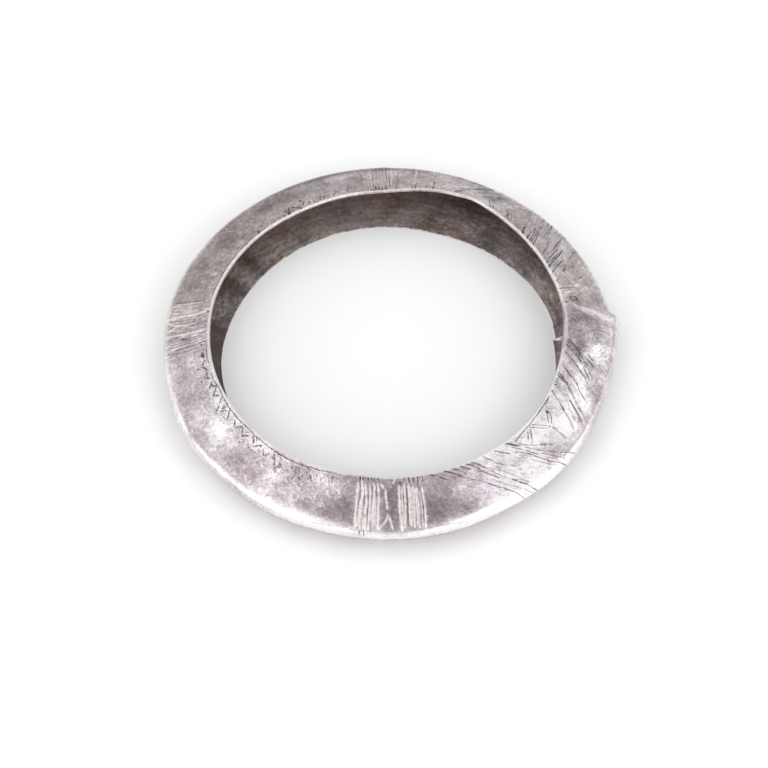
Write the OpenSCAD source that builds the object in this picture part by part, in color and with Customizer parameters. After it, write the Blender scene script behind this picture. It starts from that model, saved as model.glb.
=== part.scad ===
// Silver bracelet: a strip of sheet folded lengthwise to a V, open to the wrist
// and closed round it, with its outer end lapped over the inner one and soldered.
// It lies on the rim of its lower side. Angles run round the ring as seen from
// above, from the right-hand side; the joint lies at the right.

/* [Size] */
// Inside diameter across the upper rim
inside_d = 63.4; // [54:0.1:72]
// Height of the band as it lies
band_h = 8.8; // [7:0.1:11]
// How far the ridge stands out beyond the upper rim
ridge_reach = 7.9; // [6.5:0.1:9.5]
// How much narrower the lower rim is than the upper, measured on the radius
foot_in = 1.6; // [0:0.1:2.5]
// How much of the hand-bent unevenness is kept, with 0 for a true round
unevenness = 1; // [0:0.1:1]

/* [Sheet] */
// Thickness of the silver sheet
sheet_t = 0.55; // [0.4:0.05:0.8]
// Outside rounding of the fold along the ridge
ridge_round = 2; // [1.2:0.1:2.6]
// Width of the flat worn on each rim
rim_flat = 0.35; // [0.2:0.05:0.5]

/* [Lapped joint] */
// Where the outer end of the strip lies at the rims, in degrees
seam_at = 11.3; // [9:0.1:15]
// How far the outer end is cut back towards the ridge, in degrees
seam_slant = 6.3; // [0:0.1:7]
// Where the inner end of the strip lies at the upper rim, in degrees
tail_at = -4.5; // [-8:0.1:-2]
// How far the inner end runs on from the upper to the lower rim, in degrees
tail_slant = 12.5; // [0:0.1:13]
// Step of the joint at the ridge
ridge_step = 1; // [0.6:0.05:1.2]
// Step of the joint at the rims
rim_step = 0.35; // [0.2:0.05:0.6]
// Run over which the outer end swells out to lie on the inner one, in degrees
swell_run = 21; // [12:1:30]
// Run over which the rims come back to their height beyond the joint, in degrees
fade_run = 15; // [8:1:25]

/* [Fineness] */
// Angle between two sections of the ring
turn_step = 3; // [2:1:6]

/* [Hidden] */

// Departures from the true round in mm, outwards counted as more
// columns: angle, upper rim, ridge, lower rim
BEND = [
    [-180,  0.20,  0.30,  0.00],
    [-165,  0.25,  0.40,  0.00],
    [-150,  0.20,  1.10,  0.00],
    [-135,  0.15,  1.00,  0.00],
    [-120,  0.00,  1.50,  0.00],
    [-105, -0.30,  1.45,  0.00],
    [ -90, -0.25,  1.50,  0.00],
    [ -75, -0.35,  1.30,  0.00],
    [ -60, -0.35,  0.70,  0.00],
    [ -45, -0.35,  0.60,  0.00],
    [ -30, -0.60,  0.25,  0.00],
    [ -15, -0.90, -0.45, -0.20],
    [   0, -0.50, -0.10, -0.40],
    [  15, -0.10,  0.20,  0.50],
    [  30,  0.15,  0.05,  0.70],
    [  45,  0.70,  0.10,  0.45],
    [  60,  1.45,  0.15,  0.20],
    [  75,  1.20,  0.30,  0.00],
    [  90,  0.15,  0.35,  0.20],
    [ 105,  0.05,  0.35,  0.20],
    [ 120, -0.10,  0.35,  0.00],
    [ 135,  0.10,  0.35, -0.20],
    [ 150,  0.20,  0.35, -0.40],
    [ 165,  0.30,  0.45, -0.30],
];
RIM = 1;
RIDGE = 2;
FOOT = 3;

// Smooth run through the rows of a column, at any angle
function bend(a, col) =
    let (n = len(BEND), p = (a + 180) * n / 360, i = floor(p), t = p - i,
         v = [for (k = [-1:2]) BEND[(i + k + n) % n][col]])
    unevenness * 0.5 * (2 * v[1] + (v[2] - v[0]) * t
        + (2 * v[0] - 5 * v[1] + 4 * v[2] - v[3]) * t * t
        + (3 * v[1] - v[0] - 3 * v[2] + v[3]) * t * t * t);

function ease(x) = let (c = max(0, min(1, x))) c * c * (3 - 2 * c);

// 1 at the middle of the run, falling to 0 at 24 degrees to either side
function near(x) = abs(x) < 24 ? (1 + cos(7.5 * x)) / 2 : 0;

// Share of the joint's step that the outer face stands out by
function lapped(a) = a < seam_at ? ease((a - tail_at + swell_run) / swell_run) : 0;

// Share of the step that the rims lie lower by, just beyond the joint
function sunk(a) = a < seam_at ? 0 : 1 - ease((a - seam_at) / fade_run);

// A section has 12 points across the strip: 0 to 3 on the upper flange, 3 to 8
// round the ridge, 8 to 11 on the lower flange
LAST = 11;
function down(k) = k < 3 ? 0.37 * k / 3 : k < 8 ? 0.37 + 0.26 * (k - 3) / 5 : 0.63 + 0.37 * (k - 8) / 3;
function to_ridge(k) = 1 - abs(2 * down(k) - 1);

// Sizes of the section at the angle a of the ring, where lap is the share by which
// it lies over the inner end and sink the share by which its rims lie lower
mid_h = band_h / 2;
rim_nominal = inside_d / 2 + rim_flat + 0.4 * (sheet_t - 0.36 * rim_flat);
function rim_r(a, lap) = rim_nominal + bend(a, RIM) + 0.4 * rim_step * lap;
function foot_r(a, lap) = rim_nominal - foot_in + bend(a, FOOT) + 0.4 * rim_step * lap;
function ridge_r(a, lap) = rim_nominal + ridge_reach + bend(a, RIDGE) + ridge_step * lap;
function half_h(sink) = mid_h - 0.9 * rim_step * sink;

// Angle above the level at which the face of a flange looks outwards
function face_turn(rim, half, ridge) =
    let (dr = ridge - ridge_round - rim)
    90 - atan2(half, dr) + asin(ridge_round / sqrt(dr * dr + half * half));

// Point k of a section's outer side: radius, height and where the face looks
function outline(a, lap, sink, k) =
    let (half = half_h(sink), ridge = ridge_r(a, lap), mid = ridge - ridge_round,
         rim = rim_r(a, lap), foot = foot_r(a, lap),
         up = face_turn(rim, half, ridge), low = -face_turn(foot, half, ridge),
         q = k < 3 ? up : k > 8 ? low : up + (low - up) * (k - 3) / 5,
         on = [mid + ridge_round * cos(q), mid_h + ridge_round * sin(q)],
         t = k < 3 ? 1 - k / 3 : k > 8 ? (k - 8) / 3 : 0,
         end = k < 3 ? [rim, mid_h + half] : [foot, mid_h - half],
         p = on + (end - on) * t)
    [p[0], p[1], q];

// Angles of point k on the inner and outer face, which follow the slanted ends
function turn_in(row, k) = row + tail_slant * down(k) * near(row - tail_at);
function turn_out(row, k) = turn_in(row, k) - seam_slant * to_ridge(k) * near(row - seam_at);

function spin(a, r, z) = [r * cos(a), r * sin(a), z];

// Point k of the outer face, moved in by the flat where it is the flat's other edge
function outer_point(row, k, flat = 0) =
    let (a = turn_out(row, k), p = outline(a, lapped(row), sunk(row), k))
    spin(a, p[0] - flat, p[1]);

// Point k of the inner face, which belongs to the inner end within the joint
function inner_point(row, k) =
    let (a = turn_in(row, k), joint = row > tail_at && row < seam_at,
         p = outline(a, joint ? 0 : lapped(row), joint ? 1 : sunk(row), k),
         flat = k == 0 || k == LAST ? rim_flat : 0,
         t = sheet_t - flat * cos(p[2]))
    spin(a, p[0] - flat - t * cos(p[2]), p[1] - t * sin(p[2]));

function section(row) = concat(
    [for (k = [0:LAST]) outer_point(row, k)],
    [outer_point(row, LAST, rim_flat)],
    [for (k = [LAST:-1:0]) inner_point(row, k)],
    [outer_point(row, 0, rim_flat)]);

// Sections all round, with a close pair at each end of the strip
GAP = 0.1;
EVEN = [for (i = [0:floor(360 / turn_step) - 1]) -180 + i * turn_step];
ROWS = concat(
    [for (a = EVEN) if (a < tail_at - 0.9) a],
    [tail_at - GAP, tail_at + GAP],
    [for (a = EVEN) if (a > tail_at + 0.9 && a < seam_at - 0.9) a],
    [seam_at - GAP, seam_at + GAP],
    [for (a = EVEN) if (a > seam_at + 0.9) a]);

module band() {
    m = 2 * LAST + 4;
    n = len(ROWS);
    raw = [for (row = ROWS) each section(row)];
    xs = [for (p = raw) p[0]];
    ys = [for (p = raw) p[1]];
    // The middle of the ring's footprint is the origin
    mid = [(min(xs) + max(xs)) / 2, (min(ys) + max(ys)) / 2, 0];
    points = [for (p = raw) p - mid];
    faces = [for (i = [0:n - 1], j = [0:m - 1])
        let (i2 = (i + 1) % n, j2 = (j + 1) % m,
             a = i * m + j, b = i * m + j2, c = i2 * m + j2, d = i2 * m + j)
        each [[a, b, c], [a, c, d]]];
    color([0.66, 0.63, 0.63]) polyhedron(points, faces, convexity = 8);
}

band();
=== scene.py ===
"""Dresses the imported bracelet: a band of sheet silver folded to a V, with its cut lines, tarnish and wear."""

import math

import bpy
import numpy as np
from bpy.props import FloatProperty, FloatVectorProperty, PointerProperty
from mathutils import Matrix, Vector, noise
from mathutils.geometry import delaunay_2d_cdt


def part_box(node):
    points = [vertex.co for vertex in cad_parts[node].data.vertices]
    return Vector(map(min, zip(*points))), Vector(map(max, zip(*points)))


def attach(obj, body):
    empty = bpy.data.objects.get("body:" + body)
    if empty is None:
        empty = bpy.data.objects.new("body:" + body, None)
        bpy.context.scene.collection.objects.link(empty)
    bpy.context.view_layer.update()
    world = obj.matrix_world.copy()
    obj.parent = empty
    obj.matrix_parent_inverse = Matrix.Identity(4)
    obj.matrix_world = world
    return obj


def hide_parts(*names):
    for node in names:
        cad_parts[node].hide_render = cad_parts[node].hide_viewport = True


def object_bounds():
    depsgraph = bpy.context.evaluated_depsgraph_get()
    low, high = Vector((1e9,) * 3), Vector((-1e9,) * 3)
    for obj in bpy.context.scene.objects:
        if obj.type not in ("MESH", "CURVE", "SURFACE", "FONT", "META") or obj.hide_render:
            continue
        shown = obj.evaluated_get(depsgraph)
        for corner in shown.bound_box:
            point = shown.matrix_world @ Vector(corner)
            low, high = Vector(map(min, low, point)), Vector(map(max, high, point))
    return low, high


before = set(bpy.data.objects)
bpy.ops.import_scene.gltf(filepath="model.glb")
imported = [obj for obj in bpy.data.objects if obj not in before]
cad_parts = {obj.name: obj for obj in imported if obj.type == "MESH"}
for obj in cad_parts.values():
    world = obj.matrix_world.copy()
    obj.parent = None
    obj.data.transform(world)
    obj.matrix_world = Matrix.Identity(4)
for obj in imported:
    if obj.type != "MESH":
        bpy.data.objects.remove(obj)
SOLID_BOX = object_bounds()

bl_info = {
    "name": "Folded silver bracelet",
    "version": (1, 0, 0),
    "blender": (4, 5, 0),
    "location": "3D View > Sidebar > Bracelet",
    "description": "Builds a bracelet folded from sheet silver, with its cut lines and tarnish",
    "category": "Object",
}

MM = 0.001
BAND_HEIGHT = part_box("band")[1].z / MM
MID_HEIGHT = BAND_HEIGHT / 2

# The folded strip

# Sizes of the strip in mm.
INSIDE_ACROSS = 63.4         # across the opening at the upper rim
SHEET = 0.55                 # thickness of the silver
RIDGE_ROUND = 2.0            # rounding of the fold along the ridge
RIM_FLAT = 0.35              # flat worn on each rim
RIDGE_REACH = 7.9            # from the upper rim out to the ridge
FOOT_IN = 1.6                # how far the lower rim lies in from the upper one
RIDGE_STEP = 1.0             # step of the joint at the ridge
RIM_STEP = 0.35              # step of the joint at the rims
RIM_SWELL = 0.4 * RIM_STEP   # how far the rims lie out in the joint
RIM_DROP = 0.9 * RIM_STEP    # how far the rims lie low just beyond it
RIM_NOTCH = 0.7              # how far the lower rim lies back where the inner end stops
TONGUE_LIP = 0.35            # how far the inner end stands in at its edge
FLARE = 0.4                  # how far the ridge stands out more on either side of the outer end
WORN_CORNER = 0.16           # rubbed off the outer end's corner
SOLDER = 0.13                # solder left at its foot
RIM_RADIUS = INSIDE_ACROSS / 2 + RIM_FLAT + 0.4 * (SHEET - 0.36 * RIM_FLAT)

# Places along the strip, in degrees round the band.
SEAM = 11.9                  # where the outer end lies at the rims
SEAM_SLANT = 6.3             # how far it is cut back towards the ridge
SEAM_BOW = 0.8               # how far its edge is bowed
TAIL = -4.5                  # where the inner end lies at the upper rim
TAIL_SLANT = 12.5            # how far it runs on from the upper to the lower rim
END_REACH = 24               # how far from an end the rows still slant
SWELL_RUN = 21.0             # run over which the outer end swells out over the inner one
FADE_RUN = 15.0              # run over which the rims come back to their height beyond the joint
FLARE_FROM = -5              # where the flare starts
FLARE_FADE = 8.5             # run over which it fades beyond the outer end
NOTCH_FROM = -1              # where the notch of the lower rim starts to fade
NOTCH_FADE = 18              # run over which it does
TONGUE_RUN = 10              # run over which the inner end's lip fades
STEP_HALF = 0.1              # either side of an end, over which the face steps
WORN_RUN = 0.45              # run of the worn corner
SOLDER_RUN = 0.8             # run of the solder

# Shares of the way over the outside, from the upper rim to the lower one.
UPPER = 0.37                 # the upper face
BEND_OVER = 0.26             # the rounded ridge
RIM_ZONE = UPPER / 3         # where the inside follows the rim's flat
LIP_EDGE = 0.15              # where the lip runs out at the rims
NOTCH_ZONE = 0.14            # how much of the lower face the notch takes

# How far the ring is off a circle: degrees round it, then mm at its upper rim, ridge and lower rim.
BEND = np.array((
    (-180, 0.20, 0.30, 0.00), (-165, 0.25, 0.40, 0.00), (-150, 0.20, 1.10, 0.00), (-135, 0.15, 1.00, 0.00),
    (-120, 0.00, 1.50, 0.00), (-105, -0.30, 1.45, 0.00), (-90, -0.25, 1.50, 0.00), (-75, -0.35, 1.30, 0.00),
    (-60, -0.35, 0.70, 0.00), (-45, -0.35, 0.60, 0.00), (-30, -0.60, 0.25, 0.00), (-15, -0.90, -0.45, -0.20),
    (0, -0.50, -0.10, -0.40), (15, -0.10, 0.20, 0.50), (30, 0.15, 0.05, 0.70), (45, 0.70, 0.10, 0.45),
    (60, 1.45, 0.15, 0.20), (75, 1.20, 0.30, 0.00), (90, 0.15, 0.35, 0.20), (105, 0.05, 0.35, 0.20),
    (120, -0.10, 0.35, 0.00), (135, 0.10, 0.35, -0.20), (150, 0.20, 0.35, -0.40), (165, 0.30, 0.45, -0.30),
))
BEND_STEP = 15               # degrees between two lines of the table
RIM, RIDGE, FOOT = 1, 2, 3

# The outside, laid out flat: x runs along the band in mm, y down from the upper rim's corner.
START = 73.5                 # degrees, a place without cut lines where the layout begins and ends
LONG = 0.64                  # mm of layout to a degree
WAY = 23.0                   # mm of layout from the upper rim to the lower one
LENGTH = 360 * LONG
EQUATOR = WAY / 2

# What changes round the band: degrees, then the value there.
# mm that the upper rim's flat is wider
WIDE_RIM = (
    (-26, 0), (-19, 0.05), (-16, 0.1), (-11, 0.14), (-6, 0.36), (-1, 0.3), (2, 0.24), (7, 0.05), (12, 0),
    (180, 0),
)
# how bright the upper rim is made: rubbed silver, and in part a painted highlight where its flat mirrors the
# lamps
RIM_SHINE = (
    (-175, 0.85), (-154, 1), (-112, 0.95), (-104, 0.75), (-74, 0.75), (-64, 1), (-34, 0.9), (-26, 0.5),
    (-10, 0.5), (-4, 0.65), (9, 0.7), (14, 0.9), (56, 1), (61, 0.75), (94, 0.65), (100, 1), (168, 1),
    (175, 0.95),
)
# how bright the ridge is made: rubbed silver, and a painted highlight where it mirrors the lamps
RIDGE_SHINE = (
    (-180, 0.55), (-168, 0.75), (-152, 0.75), (-140, 0.4), (-129, 0.45), (-117, 0.85), (-100, 0.9),
    (-62, 0.9), (-40, 0.9), (-30, 0.6), (0, 0.45), (60, 0.35), (90, 0.5), (180, 0.55),
)
# mm down from the rim at which that begins
RIDGE_SHINE_FROM = (
    (-180, 9.0), (-135, 9.1), (-122, 8.5), (-104, 8.6), (-96, 9.3), (-80, 9.3), (-70, 8.6), (-40, 8.9),
    (0, 9.4), (90, 8.6), (180, 9.0),
)
# mm that the upper rim lies further out
RIM_KNEE = (
    (50, 0), (57, 0.1), (61, 0.35), (64, 0.48), (68, 0.3), (76, 0.18), (88, 0.05), (95, 0),
)
# cast of the tarnish, lilac above nothing and olive below
CAST = (
    (-180, -0.2), (-160, 0.2), (-125, 0.6), (-115, 0.9), (-65, 0.9), (-50, 0.3), (-30, 0), (0, -0.1),
    (12, -0.4), (60, -0.3), (100, -0.8), (170, -0.7), (180, -0.2),
)


def round_band(table, turn):
    """A value of a table that goes round the band, at angles."""
    pairs = sorted((float(half_turn(angle)), value) for angle, value in table)
    angles, values = zip(*pairs)
    return np.interp(half_turn(turn), angles, values, period=360)


def smooth(a, b, c, d, t):
    """A share t of the smooth way from b to c, with a before them and d after them."""
    return 0.5 * (2 * b + (c - a) * t
                  + (2 * a - 5 * b + 4 * c - d) * t * t + (3 * b - a - 3 * c + d) * t ** 3)


def bend(row, column):
    """How far the ring is off a circle at a row, eased from one line of the table to the next."""
    place = ((row + 180) % 360) / BEND_STEP
    i = np.floor(place).astype(int)
    a, b, c, d = (BEND[(i + k) % len(BEND), column] for k in (-1, 0, 1, 2))
    return smooth(a, b, c, d, place - i)


def ease(x):
    """A soft step from 0 to 1."""
    c = np.clip(x, 0, 1)
    return c * c * (3 - 2 * c)


def near(x):
    """1 at an end of the sheet, falling to 0 at END_REACH degrees from it."""
    return np.where(np.abs(x) < END_REACH, (1 + np.cos(np.radians(180 / END_REACH * x))) / 2, 0)


def half_turn(row):
    """The row as an angle from -180 to 180."""
    return (np.asarray(row, float) + 180) % 360 - 180


def to_ridge(down):
    """0 at the rims and 1 at the ridge."""
    return 1 - np.abs(2 * down - 1)


def lapped(row):
    """How far the strip has swelled over the inner end: 1 in the joint."""
    return np.where(row < SEAM, ease((row - TAIL + SWELL_RUN) / SWELL_RUN), 0)


def sunk(row):
    """How far the rims lie low beyond the joint."""
    return np.where(row < SEAM, 0, 1 - ease((row - SEAM) / FADE_RUN))


def face_turn(across, half):
    """The way that a flat face looks, in radians up from level, from its run to the ridge's middle."""
    return np.pi / 2 - np.arctan2(half, across) + np.arcsin(RIDGE_ROUND / np.hypot(across, half))


def flare(row):
    """How far the ridge stands out more on either side of the outer end, in mm."""
    before = ease((row - FLARE_FROM) / (SEAM - FLARE_FROM))
    after = 1 - ease((row - SEAM) / FLARE_FADE)
    return FLARE * np.where(row < SEAM, before, after)


def outline(row, lap, sink, down, more=0.0):
    """Radius, height and facing of the outside, a share `down` of the way from rim to rim."""
    half = MID_HEIGHT - RIM_DROP * sink
    swell = RIM_SWELL * lap
    rim = RIM_RADIUS + bend(row, RIM) + swell + round_band(RIM_KNEE, row)
    foot = RIM_RADIUS - FOOT_IN + bend(row, FOOT) + swell
    ridge = RIM_RADIUS + RIDGE_REACH + bend(row, RIDGE) + RIDGE_STEP * lap + more
    middle = ridge - RIDGE_ROUND
    up, low = face_turn(middle - rim, half), -face_turn(middle - foot, half)
    facing = up + (low - up) * np.clip((down - UPPER) / BEND_OVER, 0, 1)
    r = middle + RIDGE_ROUND * np.cos(facing)
    z = MID_HEIGHT + RIDGE_ROUND * np.sin(facing)
    to_rim = np.clip(1 - down / UPPER, 0, 1)
    to_foot = np.clip((down - 1 + UPPER) / UPPER, 0, 1)
    r = r + (rim - r) * to_rim + (foot - r) * to_foot
    z = z + (MID_HEIGHT + half - z) * to_rim + (MID_HEIGHT - half - z) * to_foot
    return r, z, facing


def turn_in(row, down):
    """Angle of a point of the inner face, which follows the slant of the inner end."""
    return row + TAIL_SLANT * down * near(half_turn(row - TAIL))


def turn_out(row, down):
    """Angle of a point of the outside, which follows the slants of both ends."""
    share = to_ridge(down)
    back = SEAM_SLANT * share - SEAM_BOW * np.sin(np.pi * share)
    return turn_in(row, down) - back * near(half_turn(row - SEAM))


def rim_notch(row, down):
    """How far the lower rim lies back where the inner end stops."""
    back = np.where(row > TAIL, 1 - ease((row - NOTCH_FROM) / NOTCH_FADE), 0)
    return RIM_NOTCH * back * ease((down - 1 + NOTCH_ZONE) / NOTCH_ZONE)


def spin(turn, r, z):
    """Points from their angles, radii and heights."""
    a = np.radians(turn)
    return np.stack([r * np.cos(a), r * np.sin(a), z], -1)


def outside(row, down, flat=0.0):
    """Points of the outside in mm; flat moves them in over the rim."""
    row = half_turn(row)
    r, z, facing = outline(row, lapped(row), sunk(row), down, flare(row))
    r = r + rim_notch(row, down)
    flat = flat * np.where(np.asarray(down) < 0.5, 1 + round_band(WIDE_RIM, row) / RIM_FLAT, 1)
    end = row - SEAM
    worn = WORN_CORNER * ease(1 + (end + STEP_HALF) / WORN_RUN) * (end < 0)
    solder = SOLDER * ease(1 - (end - STEP_HALF) / SOLDER_RUN) * (end > 0)
    off = (solder - worn) * ease(0.5 + 8 * np.minimum(down, 1 - down))       # half as much at the rims
    return spin(turn_out(row, down), r - flat + off * np.cos(facing), z + off * np.sin(facing))


def inside(row, down):
    """Points of the inner face in mm, a sheet's thickness under the outside."""
    row = half_turn(row)
    joint = (row > TAIL) & (row < SEAM)
    lap, sink = np.where(joint, 0, lapped(row)), np.where(joint, 1, sunk(row))
    r, z, facing = outline(row, lap, sink, down)
    at_rim = np.clip(1 - np.minimum(down, 1 - down) / RIM_ZONE, 0, 1)
    wide = np.where(np.asarray(down) < 0.5, round_band(WIDE_RIM, row), 0) * at_rim
    lip = np.where(joint, TONGUE_LIP * ease(1 - (row - TAIL) / TONGUE_RUN), 0)
    deep = SHEET + lip * ease(to_ridge(down) / LIP_EDGE) - RIM_FLAT * at_rim * np.cos(facing)
    r = r + rim_notch(row, down) - RIM_FLAT * at_rim - wide
    return spin(turn_in(row, down), r - deep * np.cos(facing), z - deep * np.sin(facing))
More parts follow.
